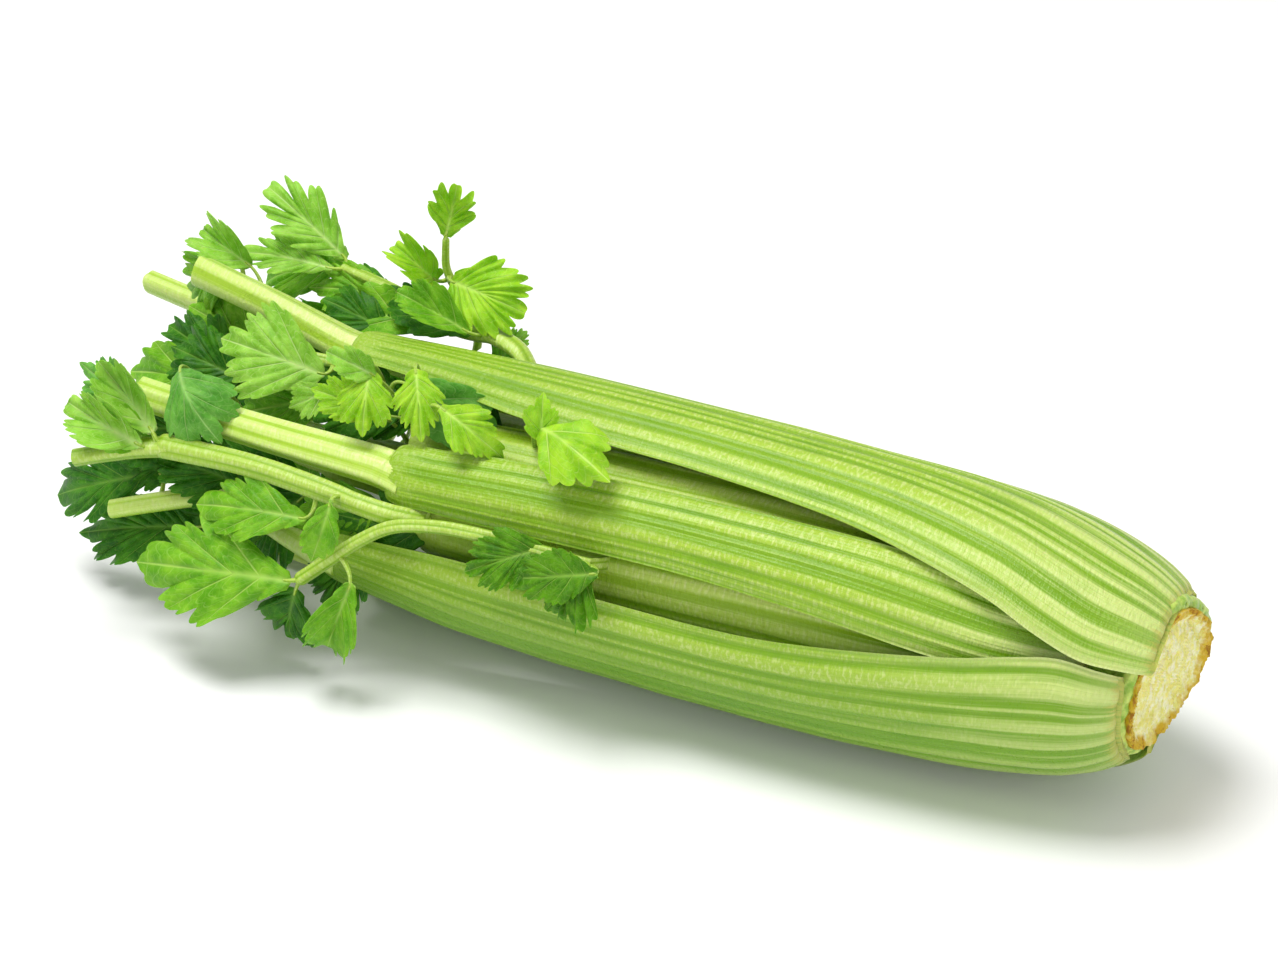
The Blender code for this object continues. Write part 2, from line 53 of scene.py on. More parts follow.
# The camera, from the middle of the head's box on the floor.
CAMERA_TURN = math.radians(25.43)
CAMERA_RISE = math.radians(32.0)
CAMERA_DISTANCE = 1.194
CAMERA_AIM = Vector((-0.0034, 0.0396, 0.0450))
CAMERA_LENS = 100
CAMERA_SENSOR = 36

# The studio: each lamp's place in metres, width and power, the light from all round, and the floor.
LAMPS = {"key": ((-0.35, -0.15, 1.5), 0.7, 19), "fill": ((1.1, -1.2, 0.8), 1.0, 5)}
LAMP_AIM = Vector((0, 0, 0.05))
WORLD_LIGHT = 0.52
FLOOR_HALF = 6.0
FLOOR_DROP = 0.3 * MM

# Points in a cross-section of each kind of CAD piece, and how many of them cross its outer or upper side.
OUTER_RING = (20, 13)
INNER_RING = (14, 9)
HEART_RING = (10, 7)
LEAF_RING = (6, 3)
STEM_RING = 10
CORE_RING = 12
CROWN_RING = 24

# Cross-sections of each kind of fine stalk, and points across its outer and its inner side.
OUTER_FINE = (180, 110, 24)
INNER_FINE = (110, 60, 16)
HEART_FINE = (70, 36, 12)
CROWN_FINE = 216             # points round the crown

# The last rings of a stem's end, as a share of its size, and how far they stand out: in mm, or in radii.
CUT_PROFILE = ((0.97, 0.35), (0.93, 0.40), (0.86, 0.10), (0.6, -0.15), (0.3, -0.25))
ROUND_PROFILE = ((0.93, 0.30), (0.75, 0.60), (0.4, 0.85))

AXIS = np.array((0.0, 0.0032, 0.047))    # the middle line of the head, along X
NEAR_STEM = 12 * MM          # a leaf foot nearer than this to a stem grows from it
BUTT_ROUND = 4.0 * MM        # how far from its cut base a stalk starts to round over
JOINT_ROUND = 4.5 * MM       # how far from its end a joint starts to round off
JOINT_MIDDLE = 8 * MM        # how far from its end a joint is thickest
JOINT_WIDTH = 4 * MM
JOINT_SWELL = 0.035
RIB_FADE = 14 * MM           # how far from a stalk's end its ribs start to get lower
COLOUR_FADE = 16 * MM        # the same for the colour of its valleys
SIDE_FADE = 0.03             # share of a stalk's width over which its ribs fade out at each side
SWAY = 0.25 * MM             # how uneven a stalk's surface is besides its ribs
STRING_HEIGHT = 0.05 * MM    # the fine strings on its ribs
CROWN_FULLER = (1.15, 1.3, 1.3, 1.15, 1.0)    # how much the crown's flank fills the space under the stalks
COLLAR_LUMPS = 23
PETIOLE = 0.75               # how thick a leaf's stem is, as a share of a large leaf's
THICK_PETIOLE = 0.9
EXTRA_SEED = 50              # the first extra leaf's random seed

# Screen colours (0 to 255) of each kind of stalk: its ribs, its valleys, ribs near the base, deepest green.
# The deepest green is also painted as shade on the underside of stalks and stems and on a stalk's inner side.
STALK_COLOURS = {
    "stalk": ((170, 202, 64), (124, 170, 2), (214, 228, 142), (92, 144, 0)),
    # The inner stalks are paler partly by their own tone and partly by painted light against the shade they
    # lie in.
    "inner": ((198, 222, 100), (150, 188, 26), (224, 236, 152), (112, 156, 14)),
    "heart": ((192, 212, 100), (150, 186, 44), (222, 230, 156), (120, 164, 30)),
    "stem": ((182, 210, 88), (138, 180, 20), (214, 230, 150), (104, 154, 8)),
    "stub": ((212, 234, 128), (168, 206, 48), (228, 240, 166), (136, 182, 26)),
}
SCAR = (186, 160, 82)
BROWNED_BASE = (200, 190, 84)

# Screen colours of each shade of leaf, after its material's name: blade, paler patches, veins, underside.
LEAF_COLOURS = {
    "bright": ("leaf_yellow_green", (128, 184, 16), (164, 210, 44), (206, 234, 124), (168, 208, 82)),
    "mid": ("leaf_green", (88, 152, 12), (126, 182, 34), (184, 220, 108), (140, 188, 70)),
    "dark": ("leaf_dark_green", (30, 92, 2), (66, 128, 14), (124, 172, 66), (90, 146, 56)),
    "pale": ("leaf_pale_green", (116, 172, 34), (152, 202, 74), (208, 234, 150), (164, 206, 100)),
    "blue": ("leaf_blue_green", (76, 142, 40), (112, 174, 68), (172, 214, 124), (112, 170, 90)),
    "olive": ("leaf_olive_green", (60, 116, 0), (90, 146, 6), (158, 200, 84), (110, 158, 46)),
}
DARK_SHADES = ("blue", "dark", "olive")

# The outer stalks: random seed, ribs, and the depth of the valleys in mm.
OUTER_STALKS = {
    "stalk_top": (1, 11, 1.35), "stalk_front": (2, 6, 1.0), "stalk_lower_front": (3, 10, 1.35),
    "stalk_under": (4, 7, 0.9), "stalk_back": (5, 7, 1.0), "stalk_lower_back": (6, 7, 1.0),
}

# The stubs and side stems: ribs; rib depth and flatness of the sides as shares; whether the end is cut; how
# far the root goes back into the head, in mm; and how steeply.
STEMS = {
    "stub_top": (3, 0.05, 0.45, True, 6, 0.1), "stub_front": (5, 0.05, 0.5, True, 6, 0.1),
    "stub_lower_front": (4, 0.10, 0.2, True, 8, 0.2), "stub_back": (4, 0.08, 0.3, True, 6, 0.1),
    "stub_under": (4, 0.08, 0.3, True, 6, 0.1), "stub_lower_back": (4, 0.08, 0.3, True, 6, 0.1),
    "side_stem_front": (4, 0.10, 0.3, False, 22, 0.35), "side_stub_front": (4, 0.10, 0.3, True, 4, 0.0),
    "side_stem_lower": (4, 0.10, 0.2, False, 5, 1.8), "leaf_stem_top": (3, 0.10, 0.1, False, 5, 0.1),
    "leaf_stem_back": (3, 0.12, 0.2, False, 22, 0.7), "leaf_stem_tall": (3, 0.10, 0.1, False, 3, 2.6),
}

LEAF_RAYS = 169              # lines from a leaf's middle vein to its margin, and points along each
LEAF_STEPS = 13
PUFF = 0.055                 # how high a lobe stands between its veins, as a share of the leaf's half width
FRILL = 0.085                # the same for the frilled margin
ROLL = 0.07                  # and for the slow waves of the whole blade
BLADE_THICK = 0.30           # in mm
MIDRIB_THICK = 1.1
VEIN_THICK = 0.25

# The CAD leaves: shade, lobes in each half, how deep the cuts between them are, and anything else unusual.
CAD_LEAVES = {
    "leaf_rear_tall": ("pale", 4, 0.6, dict(teeth=2, bite=0.12)),
    "leaf_rear_left": ("pale", 4, 0.55, dict(teeth=2)),
    "leaf_rear_small": ("pale", 3, 0.35, dict(curl=0.9)),
    "leaf_crest_tall": ("bright", 3, 0.5, dict(teeth=2, ruffle=1.4)),
    "leaf_crest_curled": ("bright", 3, 0.45, dict(teeth=2, curl=1.2, ruffle=1.3)),
    "leaf_crest_broad": ("bright", 4, 0.2, dict(teeth=2, bite=0.12)),
    "leaf_crest_low": ("mid", 3, 0.3, dict(curl=0.6)),
    "leaf_behind_stem": ("dark", 3, 0.35, {}),
    "leaf_fan": ("pale", 3, 0.3, dict(bite=0.13, ruffle=0.8)),
    "leaf_dark_drooping": ("blue", 3, 0.24, dict(ruffle=0.6, droop=0.25)),
    "leaf_pale_small": ("pale", 2, 0.2, dict(teeth=5, bite=0.2)),
    "leaf_bright": ("bright", 3, 0.28, dict(ruffle=1.2)),
    "leaf_ragged": ("bright", 3, 0.35, dict(bite=0.2, ruffle=1.5)),
    "leaf_on_front": ("bright", 2, 0.18, dict(ruffle=1.5)),
    "leaf_curled_up": ("pale", 3, 0.25, dict(curl=1.5, midrib=1.9)),
    "leaf_curled_left": ("pale", 3, 0.25, dict(curl=0.9, midrib=1.2)),
    "leaf_dark_left": ("dark", 4, 0.45, dict(teeth=2)),
    "leaf_dark_low": ("dark", 4, 0.4, {}),
    "leaf_large_low": ("mid", 3, 0.3, dict(midrib=0.9, ruffle=0.8)),
    "leaf_mid_low": ("mid", 3, 0.35, {}),
    "leaf_strap": ("mid", 2, 0.25, dict(ruffle=1.4)),
    "leaf_hanging": ("dark", 3, 0.35, dict(ruffle=1.4)),
    "leaf_hanging_right": ("mid", 3, 0.3, dict(curl=0.8, ruffle=1.3)),
    "leaf_between": ("olive", 4, 0.3, dict(bite=0.16, spread=80, scale=0.85)),
    "leaf_dark_middle": ("dark", 3, 0.35, {}),
    "leaf_back_high": ("mid", 4, 0.4, {}),
    "leaf_back_hanging": ("mid", 3, 0.4, {}),
    "leaf_back_low": ("dark", 3, 0.35, {}),
    "leaf_under": ("dark", 3, 0.4, {}),
    "leaf_centre": ("dark", 4, 0.4, {}),
}

# The way a leaf's upper side faces.
FORWARD = (0.1, -0.8, 0.6)
RAISED = (0.1, -0.7, 0.7)
LOWERED = (0.1, -0.8, 0.5)
UPTURNED = (0.2, -0.6, 0.8)
ASIDE = (0.2, -0.8, 0.5)
BACKWARD = (0.0, 0.8, 0.5)

# The smaller leaves between the CAD leaves: the stem or stub beside each; its foot and tip in mm from the
# middle of that piece's box; the way its upper side faces; half its width in mm; bend; fold; shade; lobes in
# each half; how deep the cuts between them are; and, where unusual, how far its lobes spread in degrees.
EXTRA_LEAVES = {
    "rear_lobe": ("leaf_stem_back", (-36, 14, 0), (-69, 16, -14), UPTURNED, 11, 0.1, 0.15, "mid", 3, 0.35),
    "rear_dark": ("leaf_stem_back", (-9, 4, -1), (-40, 8, -11), UPTURNED, 9, 0.08, 0.2, "dark", 3, 0.3),
    "rear_fold": ("leaf_stem_back", (6, -6, -4), (-31, -3, -4), RAISED, 8, 0.08, 0.4, "mid", 2, 0.2),
    "behind_stub_a": ("stub_back", (-3, -16, 32), (-22, -12, 14), ASIDE, 10, 0.12, 0.2, "mid", 3, 0.4),
    "under_stub_back": ("stub_back", (8, -16, 19), (-12, -16, 6), LOWERED, 9, 0.1, 0.25, "bright", 3, 0.35),
    "left_of_fan": ("stub_back", (14, -26, 6), (-17, -20, 12), RAISED, 12, 0.1, 0.12, "mid", 3, 0.25),
    "mid_left": ("stub_top", (-17, 0, -30), (-47, 6, -22), RAISED, 11, 0.1, 0.2, "dark", 3, 0.3),
    "striped_left": ("stub_top", (-18, -15, -26), (-52, -10, -33), RAISED, 9, 0.1, 0.4, "mid", 2, 0.25),
    "fan_low": ("leaf_stem_top", (2, 8, -18), (-32, 14, -11), RAISED, 12, 0.08, 0.12, "dark", 3, 0.3),
    "under_fan": ("leaf_stem_top", (6, 1, -15), (-25, -6, -24), FORWARD, 9, 0.1, 0.25, "mid", 3, 0.3),
    "joint_light": ("leaf_stem_top", (31, -14, 8), (17, -19, 16), (0.3, -0.7, 0.6),
                    5, 0.15, 0.45, "pale", 2, 0.2),
    "joint_low": ("leaf_stem_top", (28, -11, -7), (10, -18, 0), (0.2, -0.8, 0.6),
                  7, 0.12, 0.2, "bright", 3, 0.25),
    "dark_blade": ("leaf_stem_top", (37, -6, 3), (68, 0, -14), FORWARD, 9, 0.12, 0.35, "blue", 2, 0.15),
    "small_bright": ("side_stem_lower", (-11, 25, 43), (9, 27, 29), (0.2, -0.7, 0.7),
                     7, 0.2, 0.15, "bright", 3, 0.3),
    "deep_gap": ("side_stem_lower", (-4, 54, 15), (-30, 47, 29), (0.0, -0.7, 0.7),
                 12, 0.05, 0.2, "dark", 3, 0.25),
    "crest_dark": ("leaf_stem_back", (24, -8, -1), (-13, -1, 3), RAISED, 8, 0.1, 0.25, "dark", 3, 0.25),
    "far_tip": ("leaf_stem_back", (30, -2, -14), (37, 6, -4), ASIDE, 6, 0.1, 0.25, "pale", 3, 0.45),
    "dark_up": ("stub_lower_front", (-34, 8, 31), (-54, 8, 41), LOWERED, 8, 0.1, 0.2, "blue", 3, 0.3),
    "dark_left": ("stub_lower_front", (-22, 10, 11), (-46, 8, 22), FORWARD, 9, 0.1, 0.2, "dark", 3, 0.3),
    "under_side": ("stub_lower_front", (17, 27, 3), (-17, 23, 9), FORWARD, 10, 0.08, 0.2, "dark", 3, 0.25),
    "low_left": ("stub_lower_front", (-4, 24, -7), (-38, 20, -31), FORWARD, 12, 0.1, 0.15, "dark", 4, 0.4),
    "low_middle": ("side_stem_front", (8, 12, -14), (-15, 7, -43), LOWERED, 13, 0.1, 0.15, "dark", 4, 0.35),
    "low_inner": ("side_stem_lower", (-30, 17, 6), (-58, 10, -9), LOWERED, 12, 0.08, 0.2, "mid", 3, 0.3),
    "low_right": ("side_stem_front", (32, 7, -22), (20, 4, -48), (0.2, -0.8, 0.4),
                  11, 0.1, 0.2, "dark", 4, 0.35),
    "top_left": ("stub_lower_front", (-21, -2, 25), (-48, -8, 34), ASIDE, 8, 0.12, 0.2, "mid", 3, 0.3),
    "back_up": ("stub_back", (30, 8, 14), (-4, 14, 24), (0.0, 0.6, 0.8), 12, 0.12, 0.15, "mid", 4, 0.35),
    "back_low": ("stub_lower_back", (10, 10, 12), (-30, 16, 18), BACKWARD, 12, 0.1, 0.15, "mid", 4, 0.35),
    "end_high": ("stub_back", (20, -20, 6), (-20, -12, -6), (-0.3, 0.2, 0.9), 11, 0.1, 0.15, "dark", 3, 0.35),
    "between_left": ("side_stem_lower", (35, 7, 13), (12, -2, 3), (0.1, -0.85, 0.5),
                     9, 0.1, 0.15, "olive", 4, 0.3),
    "between_right": ("side_stem_lower", (56, 2, 12), (28, -1, 4), (0.1, -0.85, 0.5),
                      8, 0.08, 0.15, "olive", 4, 0.25, 85),
    "side_gap_low": ("stub_lower_front", (-18, 16, 9), (-46, 12, 5), FORWARD, 10, 0.08, 0.15, "dark", 4, 0.3),
    "under_stub": ("stub_lower_front", (-12, 13, 23), (-39, 8, 21), FORWARD, 9, 0.08, 0.15, "dark", 3, 0.3),
    "fan_gap": ("leaf_stem_top", (33, -4, -12), (4, -9, -15), FORWARD, 9, 0.06, 0.15, "dark", 3, 0.25),
    "rear_gap": ("leaf_stem_back", (-13, 4, -1), (-41, 1, -3), RAISED, 9, 0.1, 0.15, "mid", 3, 0.3),
    "joint_gap": ("leaf_stem_top", (40, 2, -12), (12, -2, -14), FORWARD, 10, 0.06, 0.15, "dark", 3, 0.25),
    "joint_back": ("leaf_stem_top", (24, 8, -8), (-6, 10, -10), FORWARD, 11, 0.06, 0.15, "dark", 3, 0.25),
    "side_gap": ("stub_lower_front", (8, 10, 8), (-28, 8, 14), FORWARD, 11, 0.08, 0.15, "dark", 4, 0.3),
    "under_joint": ("side_stem_lower", (-10, 17, -1), (-42, 12, 1), LOWERED, 10, 0.06, 0.15, "dark", 3, 0.25),
    "front_upright": ("leaf_on_front", (-12, 5, -4), (-13, 9, 11), (0.3, -0.85, 0.3),
                      5, 0.1, 0.35, "bright", 2, 0.2),
    "end_low": ("stub_under", (6, 10, 22), (-36, 12, 26), (-0.3, 0.0, 0.9), 12, 0.1, 0.15, "mid", 4, 0.35),
    "back_middle": ("stub_lower_back", (20, 2, 16), (-18, 14, 8), BACKWARD, 12, 0.1, 0.15, "mid", 4, 0.35),
    "back_end": ("stub_lower_back", (-2, 0, 8), (-40, 8, 2), (0.0, 0.7, 0.7), 11, 0.1, 0.15, "dark", 3, 0.35),
    "back_small": ("stub_back", (20, 2, -6), (-14, 12, -14), BACKWARD, 10, 0.12, 0.2, "bright", 3, 0.3),
    "back_under": ("stub_under", (-2, 18, 8), (-38, 22, 8), (0.0, 0.3, 0.9), 11, 0.1, 0.15, "dark", 4, 0.3),
}


# ---------------------------------------------------------------- reading the CAD pieces

def end_caps(points, triangles, size):
    """The corner numbers of a closed piece's two flat ends, each a ring of `size` points."""
    corners = points[triangles]
    normals = np.cross(corners[:, 1] - corners[:, 0], corners[:, 2] - corners[:, 0])
    normals /= np.linalg.norm(normals, axis=1)[:, None]
    heights = normals @ points.T - (normals * corners[:, 0]).sum(axis=1)[:, None]
    on_plane = np.abs(heights) < FLAT
    ends = {tuple(np.flatnonzero(row)) for row, above in zip(on_plane, heights.max(axis=1))
            if row.sum() == size and above < FLAT}
    if len(ends) != 2:
        raise ValueError(f"found {len(ends)} flat ends of {size} points")
    return list(ends)


def walk_round(links):
    """The numbers of one closed loop in order, from a table of each number's two neighbours."""
    loop = [min(links)]
    loop.append(min(links[loop[0]]))
    while len(loop) < len(links):
        loop.append((links[loop[-1]] - {loop[-2]}).pop())
    return loop


def towards_crown(cap):
    """How far an end lies towards the crown."""
    return cap[:, 0].mean()


def end_size(cap):
    """How large an end is. A leaf's foot is larger than its tip."""
    return np.prod(np.linalg.svd(cap - cap.mean(axis=0))[1][:2])


def read_rings(node, size, first_end=towards_crown):
    """A CAD piece's cross-sections as an array (ring, point, xyz), from the end with the larger first_end."""
    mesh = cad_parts[node].data
    places = np.array([vertex.co for vertex in mesh.vertices])
    _, first, index = np.unique(places.round(6), axis=0, return_index=True, return_inverse=True)
    points = places[first]
    triangles = index.reshape(-1)[[list(face.vertices) for face in mesh.polygons]]
    start = max(end_caps(points, triangles, size), key=lambda cap: first_end(points[list(cap)]))
    touching = [set() for _ in points]
    for triangle in triangles:
        for corner in triangle:
            touching[corner].update(triangle)
    level = dict.fromkeys(start, 0)
    frontier, depth = set(start), 0
    while frontier:
        depth += 1
        frontier = {other for corner in frontier for other in touching[corner]} - level.keys()
        level.update(dict.fromkeys(frontier, depth))
    rings = []
    for ring in range(depth):
        links = {}
        for triangle in triangles:
            if len({level[corner] for corner in triangle}) == 1:
                continue
            same = [corner for corner in triangle if level[corner] == ring]
            if len(same) == 2:
                links.setdefault(same[0], set()).add(same[1])
                links.setdefault(same[1], set()).add(same[0])
        rings.append(points[walk_round(links)])
    return np.array(rings)


def from_edge(rings, upper):
    """The same rings, each from its left edge, with its first `upper` points across the upper side."""
    turned = []
    middles = rings.mean(axis=1)
    forwards = np.gradient(middles, axis=0)
    for ring, forward in zip(rings, forwards):
        size = len(ring)
        gaps = np.linalg.norm(ring[:, None] - ring[None], axis=2)
        first, last = np.unravel_index(gaps.argmax(), gaps.shape)
        ring = np.roll(ring, -first, axis=0)
        if (last - first) % size != upper - 1:
            ring = np.roll(ring[::-1], 1, axis=0)
        up = ring[upper // 2] - ring[(upper + size) // 2]
        if (ring[upper - 1] - ring[0]) @ np.cross(forward, up) < 0:
            ring = np.concatenate([ring[upper - 1::-1], ring[:upper - 1:-1]])
        turned.append(ring)
    return np.array(turned)


def aligned(rings):
    """The same rings, all running the same way round, each starting beside the start of the one before."""
    forward = rings[1].mean(axis=0) - rings[0].mean(axis=0)
    ring = rings[0] - rings[0].mean(axis=0)
    turning = np.cross(ring, np.roll(ring, -1, axis=0)).sum(axis=0) @ forward
    turned = [rings[0] if turning > 0 else rings[0][::-1]]
    for ring, before in zip(rings[1:], rings[:-1]):
        moved = turned[-1] + ring.mean(axis=0) - before.mean(axis=0)
        choices = [np.roll(way, roll, axis=0) for way in (ring, ring[::-1]) for roll in range(len(ring))]
        turned.append(min(choices, key=lambda choice: np.abs(choice - moved).sum()))
    return np.array(turned)


# ---------------------------------------------------------------- curves and meshes

def spline(knots, places, closed=False):
    """Points at places (0 to 1) along a smooth curve through knots, which run along the first axis."""
    knots = np.asarray(knots, float)
    count = len(knots) if closed else len(knots) - 1
    spread = np.clip(places, 0, 1) * count
    index = np.minimum(spread.astype(int), count - 1)
    t = (spread - index).reshape(-1, *[1] * (knots.ndim - 1))
    numbers = (index + step for step in (-1, 0, 1, 2))
    before, start, end, after = (knots[number % len(knots) if closed else np.clip(number, 0, count)]
                                 for number in numbers)
    slope_start, slope_end, rise = (end - before) / 2, (after - start) / 2, end - start
    return start + t * (slope_start + t * (3 * rise - 2 * slope_start - slope_end
                                           + t * (slope_start + slope_end - 2 * rise)))


def spline_across(rings, places, closed=False):
    """The same rings, with the points of each taken along a smooth curve through them."""
    return np.swapaxes(spline(np.swapaxes(rings, 0, 1), places, closed), 0, 1)


def circle(count):
    """Angles once round, the last one step short of the first."""
    return np.linspace(0, math.tau, count, endpoint=False)


def running_length(path):
    """How far along a path each of its points is."""
    return np.concatenate([[0], np.cumsum(np.linalg.norm(np.diff(path, axis=0), axis=1))])


def ease(values):
    """A smooth step from 0 to 1."""
    t = np.clip(values, 0, 1)
    return t * t * (3 - 2 * t)


def bell(distance, width):
    """1 at no distance, falling smoothly to nothing some widths away."""
    return np.exp(-(distance / width) ** 2)


def waves(seed, *coordinates):
    """A smooth, uneven value of about -1 to 1 at each place, in coordinates where one unit is one bump."""
    draw = np.random.default_rng(seed)
    total = 0
    for _ in range(5):
        turns = draw.uniform(-2.6, 2.6, len(coordinates))
        phase = sum(turn * at for turn, at in zip(turns, coordinates)) * 2
        total = total + np.sin(phase + draw.uniform(0, math.tau))
    return total / 3


def unit(vectors):
    return vectors / np.maximum(np.linalg.norm(vectors, axis=-1, keepdims=True), 1e-12)


def declare(piece, node=None):
    """Makes a piece part of the head, and perhaps in place of a CAD node."""
    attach(piece, "root")
    if node:
        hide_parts(node)


def make_object(name, points, faces, corner_uvs, materials, face_materials=None, values=None, sharp=60):
    """A smooth-shaded mesh object with a UV map in metres, and point attributes for its material to read."""
    mesh = bpy.data.meshes.new(name)
    mesh.from_pydata(points.tolist(), [], faces)
    layer = mesh.uv_layers.new(name="Surface")
    layer.uv.foreach_set("vector", np.asarray(corner_uvs, np.float32).ravel())
    for key, value in (values or {}).items():
        attribute = mesh.attributes.new(key, "FLOAT", "POINT")
        attribute.data.foreach_set("value", np.ascontiguousarray(value, np.float32).ravel())
    for material in materials:
        mesh.materials.append(material)
    if face_materials is not None:
        mesh.polygons.foreach_set("material_index", np.asarray(face_materials, np.int32))
    mesh.shade_smooth()
    mesh.set_sharp_from_angle(angle=math.radians(sharp))
    mesh.update()
    piece = bpy.data.objects.new(name, mesh)
    bpy.context.scene.collection.objects.link(piece)
    return piece


def loft(name, rings, around, along, materials, values=None, ring_materials=None, sharp=60):
    """A closed piece through rings of equal size, which run clockwise for someone who looks along the piece.

    around holds a ring's UV places, with one more than its points, and along holds one for each ring. Both
    ends close on a middle point. ring_materials gives the material after each ring and of the ends.
    """
    count, size = rings.shape[:2]
    points = np.concatenate([rings.reshape(-1, 3), rings[:1].mean(axis=1), rings[-1:].mean(axis=1)])
    numbers = np.arange(count * size).reshape(count, size)
    follow = np.roll(numbers, -1, axis=1)
    quads = np.stack([numbers[:-1], numbers[1:], follow[1:], follow[:-1]], axis=-1).reshape(-1, 4)
    near = [(count * size, a, b) for a, b in zip(numbers[0], follow[0])]
    far = [(count * size + 1, b, a) for a, b in zip(numbers[-1], follow[-1])]
    u0, u1 = (np.broadcast_to(part, (count - 1, size)) for part in (around[:-1], around[1:]))
    v0, v1 = (np.broadcast_to(part[:, None], (count - 1, size)) for part in (along[:-1], along[1:]))
    quad_uvs = np.stack([u0, v0, u0, v1, u1, v1, u1, v0], axis=-1).reshape(-1, 2)
    middle = (around[0] + around[-1]) / 2
    end_uvs = []
    for place, first, second in ((along[0], around[:-1], around[1:]), (along[-1], around[1:], around[:-1])):
        for a, b in zip(first, second):
            end_uvs += [(middle, place), (a, place), (b, place)]
    chosen = None
    if ring_materials is not None:
        chosen = np.concatenate([np.repeat(ring_materials[:count - 1], size),
                                 np.full(size, ring_materials[-2]), np.full(size, ring_materials[-1])])
    filled = {}
    for key, value in (values or {}).items():
        spread = np.broadcast_to(value, (count, size))
        filled[key] = np.append(spread.ravel(), [spread[0].mean(), spread[-1].mean()])
    faces = quads.tolist() + near + far
    corner_uvs = np.concatenate([quad_uvs, end_uvs])
    return make_object(name, points, faces, corner_uvs, materials, chosen, filled, sharp)


# ---------------------------------------------------------------- materials

def srgb(red, green, blue):
    """A colour given as 0 to 255 on a screen, in the linear values that shaders use."""
    shares = [value / 255 for value in (red, green, blue)]
    return (*[s / 12.92 if s <= 0.04045 else ((s + 0.055) / 1.055) ** 2.4 for s in shares], 1.0)


class Paint:
    """A material's nodes. Each method adds nodes and returns what comes out of the last."""

    def __init__(self, name, **shader_values):
        self.material = bpy.data.materials.new(name)
        self.material.use_nodes = True
        self.tree = self.material.node_tree
        self.shader = self.tree.nodes["Principled BSDF"]
        for socket, value in shader_values.items():
            self.shader.inputs[socket.replace("_", " ").title().replace("Ior", "IOR")].default_value = value

    def add(self, kind, output, inputs, **settings):
        node = self.tree.nodes.new("ShaderNode" + kind)
        for key, value in settings.items():
            setattr(node, key, value)
        for socket, value in inputs.items():
            if isinstance(value, bpy.types.NodeSocket):
                self.tree.links.new(value, node.inputs[socket])
            else:
                node.inputs[socket].default_value = value
        return node.outputs[output]

    def value(self, name):
        """What make_object stored in the mesh under this name."""
        return self.add("Attribute", "Fac", {}, attribute_name=name)

    def space(self):
        """The place in metres."""
        return self.add("TexCoord", "Object", {})

    def surface(self, across=1.0, along=1.0):
        """The piece's own map in metres, times a number of bumps per metre each way."""
        place = self.add("UVMap", "UV", {}, uv_map="Surface")
        return self.add("VectorMath", "Vector", {0: place, 1: (across, along, 1.0)}, operation="MULTIPLY")

    def noise(self, place, scale=1.0, detail=3.0, roughness=0.55):
        inputs = {"Vector": place, "Scale": scale, "Detail": detail, "Roughness": roughness}
        return self.add("TexNoise", "Fac", inputs)

    def math(self, operation, first, second=0.0):
        return self.add("Math", 0, {0: first, 1: second}, operation=operation)

    def spread(self, value, low, high, to_low=0.0, to_high=1.0):
        """value taken from low..high to to_low..to_high, and held at the ends."""
        inputs = {0: value, 1: low, 2: high, 3: to_low, 4: to_high}
        return self.add("MapRange", 0, inputs, interpolation_type="SMOOTHSTEP")

    def nudge(self, value, noise, low, high, most):
        """value moved down or up by as much as `most`, as noise goes from low to high."""
        return self.math("ADD", value, self.spread(noise, low, high, -most, most))

    def mix(self, share, first, second):
        return self.add("Mix", 2, {0: share, 6: first, 7: second}, data_type="RGBA")

    def lay(self, under, over, value, low, high, to_low=0.0, to_high=1.0):
        """One colour laid over another, to_low to to_high strong as value goes from low to high."""
        return self.mix(self.spread(value, low, high, to_low, to_high), under, over)

    def bump(self, height, distance, strength=1.0, under=None):
        inputs = {"Height": height, "Distance": distance, "Strength": strength}
        if under is not None:
            inputs["Normal"] = under
        return self.add("Bump", "Normal", inputs)

    def flesh(self, weight, scale):
        """Light that spreads a little way inside the juicy tissue."""
        self.shader.inputs["Subsurface Weight"].default_value = weight
        self.shader.inputs["Subsurface Radius"].default_value = (0.45, 1.0, 0.12)
        self.shader.inputs["Subsurface Scale"].default_value = scale

    def finish(self, colour, roughness, normal):
        for socket, source in (("Base Color", colour), ("Roughness", roughness), ("Normal", normal)):
            self.tree.links.new(source, self.shader.inputs[socket])
        return self.material


